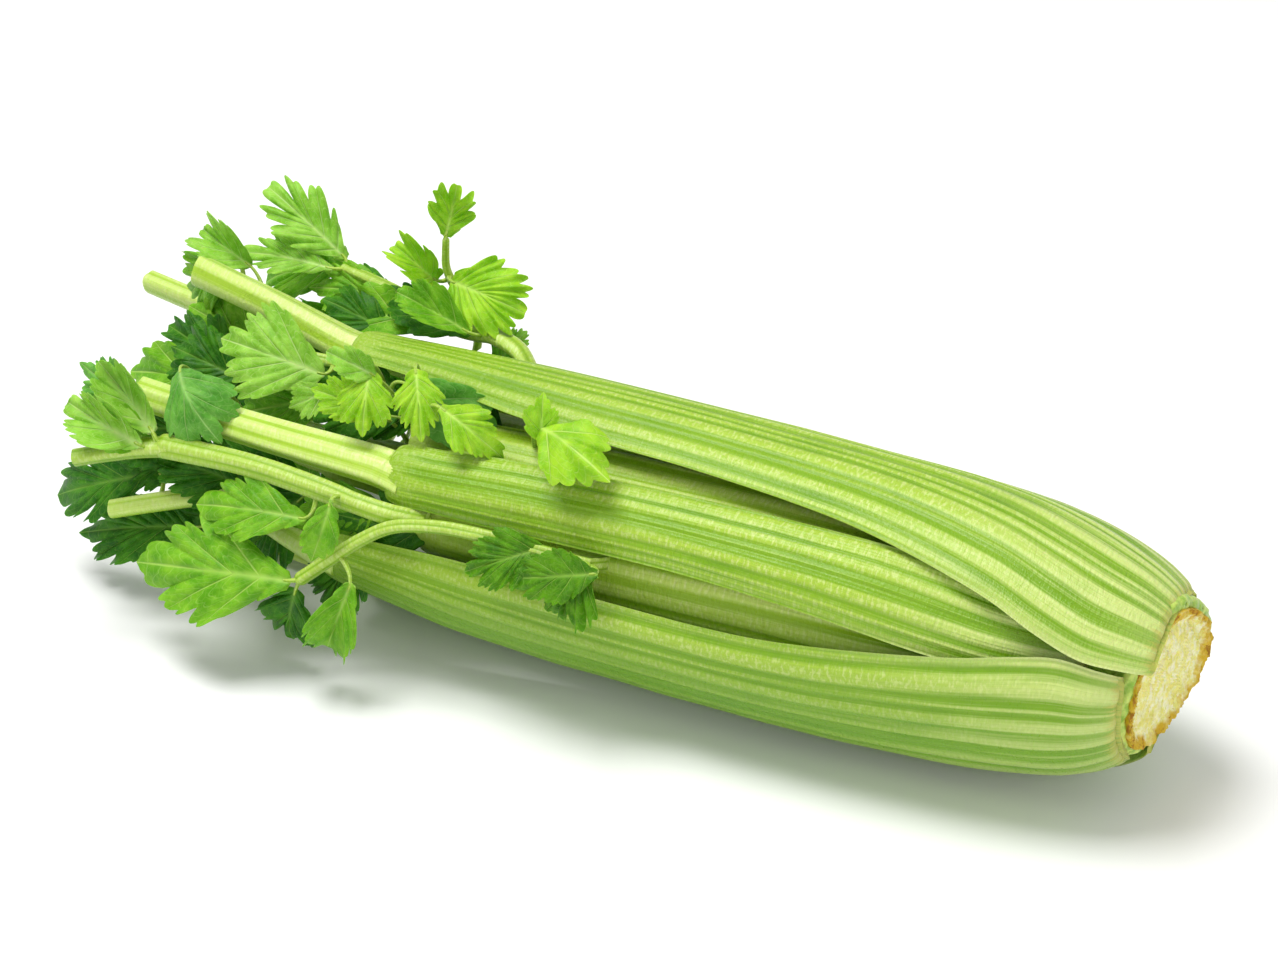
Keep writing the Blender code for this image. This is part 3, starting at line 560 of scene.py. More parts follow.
def stalk_material(name, *colours):
    """Waxy, pebbled stalk skin: paler on the ribs, vivid in the valleys, whitish near the base, with painted
    highlight on the pebbles and painted shade below and on the inner side.
    """
    crest, groove, base, deep = (srgb(*colour) for colour in colours)
    paint = Paint(name, ior=1.42, specular_ior_level=0.45, coat_weight=0.10, coat_roughness=0.22)
    paint.flesh(0.15, 2.0 * MM)
    streaks = paint.noise(paint.surface(520, 7), detail=4)
    fine_streaks = paint.noise(paint.surface(1900, 18), detail=3)
    patches = paint.noise(paint.surface(50, 24), detail=3)
    pebbles = paint.noise(paint.surface(340, 900), detail=3, roughness=0.6)
    scars = paint.noise(paint.surface(380, 40), detail=5, roughness=0.7)
    along = paint.value("along")
    light = paint.lay(crest, base, paint.nudge(along, streaks, 0.2, 0.8, 0.05), 0.0, 0.34, 0.80, 0.0)
    # Painted highlight: the pebbles are laid paler, towards the colour near the base.
    light = paint.lay(light, base, pebbles, 0.47, 0.64, 0.0, 0.70)
    light = paint.lay(light, groove, patches, 0.50, 0.75, 0.0, 0.35)
    vivid = paint.lay(groove, base, along, 0.0, 0.08, 0.30, 0.03)
    vivid = paint.lay(vivid, deep, patches, 0.40, 0.70, 0.0, 0.55)
    colour = paint.lay(light, vivid, paint.nudge(paint.value("groove"), streaks, 0.3, 0.7, 0.22), 0.14, 0.74)
    colour = paint.lay(colour, light, fine_streaks, 0.50, 0.70, 0.0, 0.30)
    colour = paint.lay(colour, groove, fine_streaks, 0.48, 0.32, 0.0, 0.30)
    colour = paint.lay(colour, groove, along, 0.45, 1.0, 0.0, 0.45)
    # Painted shade: the side that faces down darkens towards the deepest green, more so towards the leaf end.
    shade = paint.math("MULTIPLY", paint.value("low"), paint.spread(along, 0.0, 0.5, 0.40, 0.70))
    colour = paint.mix(shade, colour, deep)
    pale_edge = paint.math("MULTIPLY", paint.value("edge"), paint.spread(along, 0.12, 0.40, 0.55, 0.0))
    colour = paint.mix(pale_edge, colour, base)
    # Painted shade: a stalk's inner side, between the other stalks, is mixed halfway to the deepest green.
    colour = paint.mix(paint.math("MULTIPLY", paint.value("inside"), 0.5), colour, deep)
    colour = paint.lay(colour, srgb(*SCAR), scars, 0.715, 0.755, 0.0, 0.7)
    near_base = paint.nudge(along, streaks, 0.3, 0.7, 0.010)
    colour = paint.lay(colour, srgb(*BROWNED_BASE), near_base, 0.0, 0.016, 0.6, 0.0)
    normal = paint.bump(pebbles, 0.75 * MM, 0.75)
    normal = paint.bump(fine_streaks, 0.16 * MM, 0.6, normal)
    return paint.finish(colour, paint.spread(pebbles, 0.3, 0.7, 0.26, 0.44), normal)


def cut_material():
    """The pale wet face of a cut stub, dotted with the ends of its strings."""
    paint = Paint("cut_end", ior=1.4, coat_weight=0.2)
    paint.flesh(0.25, 2.0 * MM)
    dots = paint.add("TexVoronoi", "Distance", {"Vector": paint.surface(), "Scale": 900.0})
    cells = paint.noise(paint.surface(1500, 1500), detail=4)
    colour = paint.lay(srgb(206, 228, 140), srgb(226, 240, 178), cells, 0.3, 0.7)
    colour = paint.lay(colour, srgb(140, 180, 60), dots, 0.0, 0.25, 0.6, 0.0)
    return paint.finish(colour, paint.spread(cells, 0.3, 0.7, 0.35, 0.6), paint.bump(cells, 0.2 * MM))


def leaf_material(name, *colours):
    """A leaf blade: veins along the lobes, branches between them, and a paler underside.

    The map's first number counts the lobes across the leaf, a vein at each whole number. Its second goes
    from 0 at the middle vein to 1 at the margin.
    """
    blade, light, vein, under = (srgb(*colour) for colour in colours)
    paint = Paint(name, ior=1.4, specular_ior_level=0.25, coat_weight=0.03, coat_roughness=0.3)
    paint.flesh(0.35, 1.2 * MM)
    parts = paint.tree.nodes.new("ShaderNodeSeparateXYZ")
    paint.tree.links.new(paint.add("UVMap", "UV", {}, uv_map="Surface"), parts.inputs[0])
    lobe, out = parts.outputs[0], parts.outputs[1]

    def off_whole(value):
        return paint.math("ABSOLUTE", paint.math("SUBTRACT", value, paint.math("ROUND", value)))

    from_vein = off_whole(lobe)
    width = paint.spread(out, 0.0, 1.0, 0.060, 0.010)
    main = paint.spread(paint.math("DIVIDE", from_vein, width), 0.2, 1.0, 0.85, 0.0)
    branch = paint.math("SUBTRACT", paint.math("MULTIPLY", from_vein, 4.4), paint.math("MULTIPLY", out, 5.0))
    side = paint.spread(off_whole(branch), 0.01, 0.10, 0.34, 0.0)
    net = paint.add("TexVoronoi", "Distance", {"Vector": paint.space(), "Scale": 420.0},
                    feature="DISTANCE_TO_EDGE")
    veins = paint.math("MAXIMUM", main, side)
    veins = paint.math("MAXIMUM", veins, paint.spread(net, 0.0, 0.10, 0.14, 0.0))
    veins = paint.math("MAXIMUM", veins, paint.value("midrib"))
    mottle = paint.noise(paint.space(), scale=160.0, detail=4)
    colour = paint.lay(blade, light, mottle, 0.35, 0.68)
    colour = paint.lay(colour, light, out, 0.82, 1.0, 0.0, 0.35)
    colour = paint.mix(paint.math("MULTIPLY", paint.value("under"), 0.75), colour, under)
    colour = paint.mix(paint.math("MULTIPLY", veins, 0.75), colour, vein)
    height = paint.math("MULTIPLY", veins, paint.spread(paint.value("under"), 0.0, 1.0, -1.0, 1.0))
    normal = paint.bump(height, 0.35 * MM, 0.8)
    normal = paint.bump(paint.noise(paint.space(), scale=900.0), 0.15 * MM, 0.5, normal)
    return paint.finish(colour, paint.spread(mottle, 0.3, 0.7, 0.42, 0.56), normal)


def crown_material():
    """The cut face: cream and fibrous in the middle, browned at the ragged rim, and green on the flank."""
    paint = Paint("crown_cut", ior=1.4)
    paint.flesh(0.2, 2.0 * MM)
    place = paint.space()
    grain = paint.add("VectorMath", "Vector", {0: place, 1: (1.0, 1.0, 0.45)}, operation="MULTIPLY")
    fibres = paint.noise(grain, scale=520.0, detail=5, roughness=0.65)
    blots = paint.noise(place, scale=150.0, detail=4, roughness=0.6)
    rim = paint.nudge(paint.value("rim"), blots, 0.25, 0.75, 0.30)
    colour = paint.lay(srgb(240, 234, 134), srgb(250, 248, 208), fibres, 0.42, 0.62)
    colour = paint.lay(colour, srgb(216, 204, 70), blots, 0.50, 0.70, 0.0, 0.45)
    colour = paint.lay(colour, srgb(214, 178, 40), rim, 0.50, 0.95)
    colour = paint.lay(colour, srgb(166, 112, 26), paint.nudge(rim, fibres, 0.3, 0.7, 0.3), 0.95, 1.30)
    colour = paint.lay(colour, srgb(168, 206, 66), paint.value("flank"), 0.35, 0.65)
    return paint.finish(colour, paint.spread(fibres, 0.3, 0.7, 0.55, 0.8), paint.bump(fibres, 0.9 * MM, 0.9))


def collar_material():
    """The row of green stalk ends round the cut face, with the dark holes of their cut strings."""
    paint = Paint("cut_collar", ior=1.42, coat_weight=0.15)
    paint.flesh(0.2, 2.0 * MM)
    blots = paint.noise(paint.space(), scale=260.0, detail=4)
    colour = paint.lay(srgb(138, 184, 46), srgb(206, 226, 112), blots, 0.35, 0.65)
    colour = paint.mix(paint.value("brown"), colour, srgb(206, 168, 48))
    colour = paint.mix(paint.value("pit"), colour, srgb(74, 100, 18))
    return paint.finish(colour, paint.spread(blots, 0.3, 0.7, 0.35, 0.55), paint.bump(blots, 0.35 * MM))


def floor_material():
    paint = Paint("pale_floor", ior=1.3)
    grain = paint.noise(paint.space(), scale=3.0)
    colour = paint.mix(grain, srgb(250, 250, 249), srgb(253, 253, 252))
    return paint.finish(colour, paint.spread(grain, 0, 1, 0.85, 0.95), paint.bump(grain, 0.01 * MM, 0.1))


# ---------------------------------------------------------------- stalks

def rib_heights(seed, count, across):
    """The ribs across a stalk: how high it stands (0 to 1) and how deep in a valley it is (0 to 1)."""
    draw = np.random.default_rng(seed)
    edges = np.concatenate([[0], np.cumsum(draw.uniform(0.45, 1.7, count))])
    edges /= edges[-1]
    depths = draw.uniform(0.60, 1.0, count + 1)
    widths = draw.uniform(0.22, 0.42, count + 1) / count
    heights = draw.uniform(0.65, 1.0, count)
    valley = np.zeros_like(across)
    crease = np.zeros_like(across)
    for edge, depth, width in zip(edges, depths, widths):
        reach = width * np.where(across < edge, 1.3, 0.9)
        valley = np.maximum(valley, depth * bell(across - edge, reach))
        crease = np.maximum(crease, depth * bell(across - edge, 0.22 * width))
    crests = np.interp(across, (edges[1:] + edges[:-1]) / 2, heights)
    return crests * (1 - 0.72 * valley - 0.22 * crease) + 0.05, valley


def quarter_circle(distance, reach):
    """0 to 1 as a distance goes from 0 to reach, steep at first, like a rounded edge."""
    return np.sqrt(1 - (1 - np.clip(distance / reach, 0, 1)) ** 2)


def stalk(node, ring, fine, material, seed, ribs, depth):
    """A ribbed stalk through a CAD stalk's sections, rounded over at its base and swelling to a joint."""
    size, upper = ring
    stations, across, under = fine
    t = np.linspace(0, 1, stations)
    over = np.linspace(0, 1, across)
    sections = spline(from_edge(read_rings(node, size), upper), t)
    top = spline_across(sections[:, :upper], over)
    inner = np.concatenate([sections[:, upper - 1:], sections[:, :1]], axis=1)
    low = spline_across(inner, np.linspace(0, 1, under))
    along = running_length(top[:, across // 2])
    to_end = along[-1] - along
    normal = unit(np.cross(np.gradient(top, axis=1), np.gradient(top, axis=0)))
    width = np.linalg.norm(np.diff(top, axis=1), axis=2).sum(axis=1)
    widest = width.max()

    # The ribs, faded out at both sides and shallower near the base and the joint.
    share = over[None] + 0.006 * waves(seed, t[:, None] * 3, t[:, None] * 5)
    height, in_groove = rib_heights(seed, ribs, np.clip(share, 0, 1))
    fade = ease(over / SIDE_FADE) * ease(over[::-1] / SIDE_FADE)
    reach = depth * np.clip(width / widest, 0.35, 1) * (0.75 + 0.25 * ease(along / (0.3 * along[-1])))
    reach = reach * (0.35 + 0.65 * ease(to_end / RIB_FADE))
    sway = SWAY * np.abs(waves(seed + 7, t[:, None] * 6, 2 * over[None]))
    strings = STRING_HEIGHT * np.sin(over[None] * math.tau * ribs * 3.7)
    sunk = (reach[:, None] * (1 - height) + sway + strings * fade) * fade
    butt = BUTT_ROUND * (1 - quarter_circle(along, BUTT_ROUND))
    top = top - normal * (sunk + 0.5 * butt[:, None])[..., None]

    # The joint, a little swollen, with its end rounded off.
    rings = np.concatenate([top, low[:, 1:-1]], axis=1)
    swell = 1 + JOINT_SWELL * bell(to_end - JOINT_MIDDLE, JOINT_WIDTH)
    scale = swell * (0.72 + 0.28 * quarter_circle(to_end, JOINT_ROUND))
    middle = rings.mean(axis=1, keepdims=True)
    rings = middle + (rings - middle) * scale[:, None, None]
    rings[..., 2] = np.maximum(rings[..., 2], 0)

    # What the material reads: the outer side's valleys, its edges, and how far it faces down, which it paints
    # in shade. The inner side is marked as well, and painted in shade too.
    shape = rings.shape[:2]
    values = {"along": (along / along[-1])[:, None], "groove": np.full(shape, 0.5),
              "edge": np.full(shape, 0.3), "inside": np.ones(shape), "low": np.zeros(shape)}
    calm = ease(to_end / COLOUR_FADE)[:, None]
    values["groove"][:, :across] = (in_groove * fade + (1 - fade) * 0.4) * calm
    values["edge"][:, :across] = bell(np.minimum(over, over[::-1]), 0.035)
    values["inside"][:, :across] = 0
    values["low"][:, :across] = ease(0.40 - normal[..., 2])
    around = np.concatenate([over * widest, widest + np.linspace(0, widest, under)[1:]])
    declare(loft("fine_" + node, rings, around, along, [material], values), node)


# ---------------------------------------------------------------- stems and stubs

def rooted(rings, root, sink):
    """The same sections after two that go back by `root`, and by a share of it inwards."""
    middle = rings[0].mean(axis=0)
    back = unit(middle - rings[1].mean(axis=0))
    inward = AXIS - middle
    inward[0] = 0
    inward = unit(inward)
    near = middle + (back * 0.55 + inward * sink * 0.28) * root
    deep = middle + (back + inward * sink) * root
    shape = rings[0] - middle
    return np.concatenate([[deep + shape * 1.12, near + shape * 1.05], rings])


def tube(name, rings, ribs, depth, materials, cut_end, node=None, facets=0.0, fine=56,
         stations=60):
    """A ribbed stem through sections, with flattened sides and a cut or rounded end."""
    turn = circle(fine)
    body = spline_across(spline(rings, np.linspace(0, 1, stations)), turn / math.tau, True)
    middle = body.mean(axis=1, keepdims=True)
    out = unit(body - middle)
    uneven = turn + 0.35 * np.sin(turn + ribs)
    pattern = np.abs(np.cos(uneven * ribs / 2)) ** 0.7
    radius = np.linalg.norm(body - middle, axis=2).mean(axis=1)
    corner = np.cos(math.pi / ribs) / np.cos((uneven % (math.tau / ribs)) - math.pi / ribs)
    body = middle + (body - middle) * (1 - facets + facets * corner * 1.12)[None, :, None]
    body = body - out * (depth * radius[:, None] * (1 - pattern)[None])[..., None]
    last, centre = body[-1], body[-1].mean(axis=0)
    forward = unit(centre - body[-2].mean(axis=0))
    profile, unit_rise = (CUT_PROFILE, MM) if cut_end else (ROUND_PROFILE, radius[-1])
    ends = [centre + (last - centre) * scale + forward * rise * unit_rise for scale, rise in profile]
    rings = np.concatenate([body, ends])
    along = running_length(body.mean(axis=1))
    along = np.concatenate([along, along[-1] + np.arange(1, len(ends) + 1) * 0.5 * MM])
    around = np.linspace(0, math.tau * radius.mean(), fine + 1)
    facing = unit(rings - rings.mean(axis=1, keepdims=True))
    # low is how far each point faces down, which the skin paints in shade.
    values = {"groove": (1 - pattern)[None], "along": 0.45 + 0.35 * (along / along[-1])[:, None],
              "edge": np.zeros((1, 1)), "inside": np.zeros((1, 1)), "low": ease((0.1 - facing[..., 2]) / 1.1)}
    chosen = np.zeros(len(rings) + 1, int)
    if cut_end:
        chosen[len(body) + 1:] = 1
        chosen[-2] = 0
    declare(loft(name, rings, around, along, materials, values, chosen, sharp=45), node)


def path_rings(path, radii, size=12):
    """Round sections along a list of points."""
    forward = unit(np.gradient(path, axis=0))
    side = unit(np.cross(forward, (0.12, 0.2, 1.0)))
    up = np.cross(side, forward)
    turn = circle(size)[None, :, None]
    return path[:, None] + (side[:, None] * np.cos(turn) + up[:, None] * np.sin(turn)) * radii[:, None, None]


# ---------------------------------------------------------------- leaves

class Blade:
    """The bent and folded surface that a leaf lies on: its middle vein, two sides and upward direction."""

    def __init__(self, rings):
        self.vein = rings[:, 1]
        self.left = unit(rings[:, 0] - rings[:, 1])
        self.right = unit(rings[:, 2] - rings[:, 1])
        self.up = unit(rings[:, 1] - rings[:, 4])
        self.widths = np.linalg.norm(rings[:, 2] - rings[:, 1], axis=1)
        self.length = np.linalg.norm(np.diff(self.vein, axis=0), axis=1).sum()

    def half_width(self, along):
        """Half the leaf's width at places (0 to 1) along it. It closes to nothing at the tip."""
        return spline(self.widths, along.ravel()).reshape(along.shape) * ease((1.03 - along) / 0.12)

    def directions(self, along, sideways):
        """The middle vein, the way out from it and the way up, at places along the vein and to its sides."""
        flat = along.ravel()
        side = np.where(sideways.ravel()[:, None] < 0, spline(self.left, flat), spline(self.right, flat))
        parts = (spline(self.vein, flat), side, spline(self.up, flat))
        return [part.reshape(*along.shape, 3) for part in parts]

    def place(self, along, sideways, rise):
        """The point at a share along the vein, a distance sideways and a distance up from the surface."""
        vein, side, up = self.directions(along, sideways)
        beyond = np.maximum(along - 1, 0)[..., None] * self.length * unit(self.vein[-1] - self.vein[-2])
        return vein + beyond + side * np.abs(sideways)[..., None] + up * rise[..., None]

    def curled(self, points, along, sideways, amount):
        """The same points with both sides of the leaf rolled up towards its middle vein."""
        vein, side, up = self.directions(along, sideways)
        span = self.widths.max()
        turn = np.abs(sideways)[..., None] / span * amount
        ruffle = ((points - vein) * up).sum(axis=-1, keepdims=True)
        return vein + (side * np.sin(turn) + up * (1 - np.cos(turn))) * span / amount + up * ruffle

    def ray_reach(self, start, turn):
        """How far a ray in the leaf's plane runs from its middle vein to the smooth outline."""
        reach = np.linspace(0, 1.1, 240)[None] * self.length
        along = start[:, None] + reach * np.cos(turn)[:, None] / self.length
        outside = (reach * np.sin(np.abs(turn))[:, None] > self.half_width(along)) | (along > 1)
        return reach[0][outside.argmax(axis=1)]


def blade_rings(foot, tip, facing, half_width, bend, fold, stations=8):
    """Leaf sections of the same kind as a CAD leaf's, for the extra leaves."""
    foot, tip, facing = (np.asarray(vector, float) for vector in (foot, tip, facing))
    length = np.linalg.norm(tip - foot)
    forward = (tip - foot) / length
    side = unit(np.cross(forward, facing))
    up = np.cross(side, forward)
    outline = spline((0.14, 0.50, 0.85, 1.0, 0.95, 0.75, 0.45, 0.14), np.linspace(0, 1, stations))
    rings = []
    for t, share in zip(np.linspace(0, 1, stations), outline):
        vein = foot + forward * length * t + up * bend * length * 4 * t * (1 - t)
        top = np.cross(side, unit(forward + up * bend * 4 * (1 - 2 * t)))
        reach = half_width * share
        lift = top * reach * fold
        rings.append([vein - side * reach + lift, vein, vein + side * reach + lift,
                      vein, vein - top * MM, vein])
    return np.array(rings)


def leaf(name, rings, material, slot_name, seed, lobes, cut, spread=58, teeth=3, bite=0.11, ruffle=1.0,
         droop=0.0, midrib=0.6, curl=0.0, scale=1.0, node=None):
    """A lobed, toothed and ruffled leaf blade with a thick middle vein, lofted over a blade's surface.

    Rays run out from the middle vein to the margin. lobes is how many each half has, cut how deep the cuts
    between them are, teeth how many a lobe has, bite how deep those are, and spread how far rays turn out.
    """
    draw = np.random.default_rng(seed)
    blade = Blade(rings)
    ray = np.linspace(-1, 1, LEAF_RAYS)
    size = np.abs(ray)
    start = 0.56 * (1 - size) ** 1.1
    turn = np.sign(ray) * math.radians(spread) * size ** 0.66
    smooth = blade.ray_reach(start, turn) * scale

    # The margin: the smooth outline cut in between the lobes and between the teeth.
    shift = draw.uniform(0, math.tau, 4)
    lobe = size * lobes + 0.10 * np.sin(size * 7 + shift[0] + (ray > 0) * 1.3) * np.sin(np.pi * size)
    off_vein = lobe - lobe.round()
    notch = np.abs(2 * off_vein)
    depth = cut * (0.75 + 0.25 * np.sin(lobe.round() * 2.1 + shift[1]))
    tooth = np.abs(2 * ((off_vein * teeth + teeth % 2 / 2) % 1.0) - 1)
    edge = 1.16 * (1 - depth * notch ** 3.2) * (1 - bite * (1.0 - notch * 0.3) * tooth ** 2)
    edge *= 1 + 0.07 * np.sin(lobe * 3.1 + shift[2]) * ease(size / 0.1)
    out = np.linspace(0, 1, LEAF_STEPS) ** 0.9
    reach = (smooth * edge)[:, None] * out[None]
    along = start[:, None] + reach * np.cos(turn)[:, None] / blade.length
    sideways = reach * np.sin(turn)[:, None]

    # The surface: puffed up between the veins, frilled at the margin, rolled and drooping.
    span = blade.widths.max()
    puff = PUFF * span * np.sin(np.pi * notch)[:, None] * np.sin(np.pi * out)[None]
    frill = FRILL * ruffle * span * np.sin(lobe * math.tau * 1.5 + shift[3])[:, None] * out[None] ** 2.2
    roll = ROLL * ruffle * span * waves(seed, along * 2.2, sideways / span * 1.3) * out[None]
    hang = -droop * reach ** 2 / span * 0.5
    vein_line = -0.10 * MM * bell(off_vein, 0.06)[:, None] * (1 - out[None])
    top = blade.place(along, sideways, puff + frill + roll + hang + vein_line)
    if curl:
        top = blade.curled(top, along, sideways, curl)

    # The underside, further down under the veins.
    normal = unit(np.cross(np.gradient(top, axis=1), np.gradient(top, axis=0)))
    up = blade.directions(along, sideways)[2]
    normal = normal * np.where((normal * up).sum(axis=-1, keepdims=True) < 0, -1, 1)
    rib = bell(sideways, midrib * MM) * np.clip(1 - along, 0, 1) ** 0.7
    side_veins = VEIN_THICK * bell(off_vein, 0.05)[:, None] * (1 - out)[None]
    thick = BLADE_THICK + midrib * MIDRIB_THICK * rib + side_veins
    thick = thick * np.where(out[None] > 0.99, 0.55, 1) * MM
    low = top - normal * thick[..., None]
    declare(blade_mesh(name, top, low, lobe * np.sign(ray + 1e-9), out, rib, material), node)


def blade_mesh(name, top, low, lobe, out, rib, material):
    """Sews the two faces of a leaf, whose rays share the points of the middle vein, and closes its margin."""
    rays, steps = top.shape[:2]
    half = rays // 2
    numbers = np.arange(rays * steps).reshape(rays, steps)
    numbers[half + 1:, 0] = numbers[half - 1::-1, 0]
    used, renumbered = np.unique(numbers, return_inverse=True)
    numbers = renumbered.reshape(rays, steps)
    count = len(used)
    points = np.concatenate([top.reshape(-1, 3)[used], low.reshape(-1, 3)[used]])
    uv_grid = np.stack(np.broadcast_arrays(lobe[:, None], out[None]), axis=-1)

    def corners(grid):
        return [grid[:-1, :-1], grid[:-1, 1:], grid[1:, 1:], grid[1:, :-1]]

    def margin(grid):
        return np.concatenate([grid[0], grid[1:, -1], grid[-1, -2::-1]])

    quads = np.stack(corners(numbers), axis=-1).reshape(-1, 4)
    uvs = np.stack(corners(uv_grid), axis=2).reshape(-1, 4, 2)
    border, border_uvs = margin(numbers), margin(uv_grid)
    a, b = border[:-1], border[1:]
    rim = np.stack([a, a + count, b + count, b], axis=-1)
    rim_uvs = np.stack([border_uvs[:-1], border_uvs[:-1], border_uvs[1:], border_uvs[1:]], axis=1)
    faces = np.concatenate([quads, quads[:, ::-1] + count, rim])
    corner_uvs = np.concatenate([uvs, uvs[:, ::-1], rim_uvs])
    first, second, _, fourth = (points[quads[:, corner]] for corner in range(4))
    lean = np.cross(second - first, fourth - first)
    if (lean * (first - points[count:][quads[:, 0]])).sum() < 0:
        faces, corner_uvs = faces[:, ::-1], corner_uvs[:, ::-1]
    corner_uvs = corner_uvs.reshape(-1, 2)
    values = {"under": np.repeat([0, 1], count), "midrib": np.tile(rib.ravel()[used], 2)}
    return make_object(name, points, faces.tolist(), corner_uvs, [material], values=values, sharp=75)


# ---------------------------------------------------------------- crown

def crown(material):
    """The stem's cut face, fibrous and raised at its ragged rim, over a flank that narrows."""
    turn = circle(CROWN_FINE)
    sections = spline_across(aligned(read_rings("crown", CROWN_RING)), turn / math.tau, True)
    face = sections[0]
    centre = face.mean(axis=0)
    out = unit(np.cross(face[0] - centre, face[CROWN_FINE // 4] - centre))
    out *= np.sign(out[0])
    x, y = np.cos(turn), np.sin(turn)
    ragged = 1 + 0.020 * waves(3, x * 3, y * 3) + 0.005 * waves(4, x * 12, y * 12)
    rings, rim, flank = [], [], []
    # The face from its middle to the rim, then over the rim, then the flank.
    for share in np.linspace(0.02, 1.0, 40) ** 0.8:
        edge = ease((share - 0.80) / 0.2)
        height = 0.45 * waves(11, x * share * 16, y * share * 9)
        height += 0.30 * waves(12, x * share * 34, y * share * 22)
        height += edge * (0.5 + 0.6 * waves(13, x * 6, y * 6)) - 1.1 * bell(share - 0.80, 0.07)
        radius = share * (1 + (ragged - 1) * edge)
        rings.append(centre + (face - centre) * radius[:, None] + out * height[:, None] * MM)
        rim.append(ease((share - 0.62) / 0.38))
        flank.append(0.0)
    for drop, scale, is_flank in ((0.9, 1.005, 0.1), (1.9, 0.975, 0.5), (3.2, 0.955, 1.0)):
        rings.append(centre + (face - centre) * (ragged * scale)[:, None] - out * drop * MM)
        rim.append(1.0 - 0.5 * is_flank)
        flank.append(is_flank)
    for section, fuller in zip(sections[2:], CROWN_FULLER):
        middle = section.mean(axis=0)
        rings.append(middle + (section - middle) * fuller)
        rim.append(0.3)
        flank.append(1.0)
    around = np.linspace(0, 0.14, CROWN_FINE + 1)
    along = np.linspace(0, 0.06, len(rings))
    values = {"rim": np.array(rim)[:, None], "flank": np.array(flank)[:, None]}
    declare(loft("crown_cut_face", np.array(rings), around, along, [material], values), "crown")
    return centre, out, face


def collar(centre, out, face, material):
    """The green ends of cut-off stalks round the face: a row of lumps, each with the hole of a cut string."""
    turn = circle(CROWN_FINE)
    x, y = np.cos(turn), np.sin(turn)
    draw = np.random.default_rng(21)
    places = (np.arange(COLLAR_LUMPS) + draw.uniform(-0.25, 0.25, COLLAR_LUMPS)) / COLLAR_LUMPS * math.tau
    gaps = np.abs((turn[:, None] - places[None] + math.pi) % math.tau - math.pi)
    owner, gap = gaps.argmin(axis=1), gaps.min(axis=1)
    holes = np.clip(draw.uniform(-0.6, 1.0, COLLAR_LUMPS), 0, 1)[owner]
    hole_size = 0.018 + 0.020 * draw.uniform(0, 1, COLLAR_LUMPS)[owner]
    bulge = 0.55 * np.cos(np.pi / 2 * np.clip(gap * COLLAR_LUMPS / math.pi, 0, 1)) - 0.30
    # Size as a share of the face's, and how far behind it in mm, from inside the rim round to the flank.
    profile = ((0.60, 3.5), (0.90, 1.9), (0.96, 1.3), (1.00, 1.0), (1.035, 0.9), (1.07, 1.0), (1.10, 1.3),
               (1.13, 1.9), (1.15, 2.7), (1.16, 3.7), (1.15, 5.2), (1.08, 8.0), (0.60, 9.0))
    rings, pits, browns = [], [], []
    for scale, drop in spline(profile, np.linspace(0, 1, 61)):
        lump = bulge + 0.25 * waves(22, x * 6, y * 6 + drop)
        pit = holes * bell(gap, hole_size) * bell(scale - 1.075, 0.020) * (drop < 3)
        shown = ease((scale - 0.9) / 0.1) * ease((9 - drop) / 4)
        rise = lump * shown - 2.0 * pit - drop
        rings.append(centre + (face - centre) * scale + out * rise[:, None] * MM)
        pits.append(np.clip(pit * 1.4, 0, 1))
        browns.append(ease((1.035 - scale) / 0.05) * (0.6 + 0.4 * waves(23, x * 5, y * 5)))
    around = np.linspace(0, 0.17, CROWN_FINE + 1)
    along = np.linspace(0, 0.02, len(rings))
    values = {"pit": np.array(pits), "brown": np.clip(np.array(browns), 0, 1)}
    declare(loft("cut_collar", np.array(rings), around, along, [material], values))


# ---------------------------------------------------------------- the head

def build_stalks(material, inner_material, heart_material):
    for node, (seed, ribs, depth) in OUTER_STALKS.items():
        stalk(node, OUTER_RING, OUTER_FINE, material, seed, ribs, depth * MM)
    for seed, node in enumerate(sorted(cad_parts)):
        if node.startswith("inner_stalk"):
            stalk(node, INNER_RING, INNER_FINE, inner_material, seed, 5, 0.7 * MM)
        if node.startswith("heart_stalk"):
            stalk(node, HEART_RING, HEART_FINE, heart_material, seed, 4, 0.4 * MM)
    core = aligned(read_rings("heart_core", CORE_RING))
    tube("fine_heart_core", core, 7, 0.12, [heart_material] * 2, False, "heart_core")


def build_stems(stem_material, stub_material, cut):
    """The stubs and side stems. Returns the middle line of each."""
    lines = {}
    for node, (ribs, depth, facets, cut_end, root, sink) in STEMS.items():
        rings = aligned(read_rings(node, STEM_RING))
        lines[node] = rings.mean(axis=1)
        trimmed = node.startswith("stub")
        slot_name, skin = ("outer_stalk", stub_material) if trimmed else ("leaf_stem", stem_material)
        rings = rooted(rings, root * MM, sink)
        tube("fine_" + node, rings, ribs, depth, [skin, cut], cut_end, node, facets=facets)
    return lines


def petiole(name, rings, lines, material, thick):
    """The short stem of a leaf, from its foot to the stem beside it, or else down between the stalks."""
    foot = rings[0, 1]
    forward = unit(rings[1, 1] - foot)
    routes = np.concatenate([spline(line, np.linspace(0, 1, 60)) for line in lines.values()])
    nearest = routes[np.linalg.norm(routes - foot, axis=1).argmin()]
    gap = np.linalg.norm(nearest - foot)
    if gap < NEAR_STEM:
        end, bend = nearest, foot - forward * gap * 0.3
    else:
        inward = AXIS - foot
        inward[0] = 0
        end = foot + unit(inward) * 15 * MM - forward * 9 * MM
        bend = foot - forward * 7 * MM
    t = np.linspace(0, 1, 12)[:, None]
    path = end * (1 - t) ** 2 + 2 * bend * t * (1 - t) + (foot + forward * 2.5 * MM) * t ** 2
    sections = path_rings(path, np.linspace(1.3, 0.62, 12) * thick * MM)
    tube(name, sections, 3, 0.10, [material] * 2, False, fine=20, stations=24)


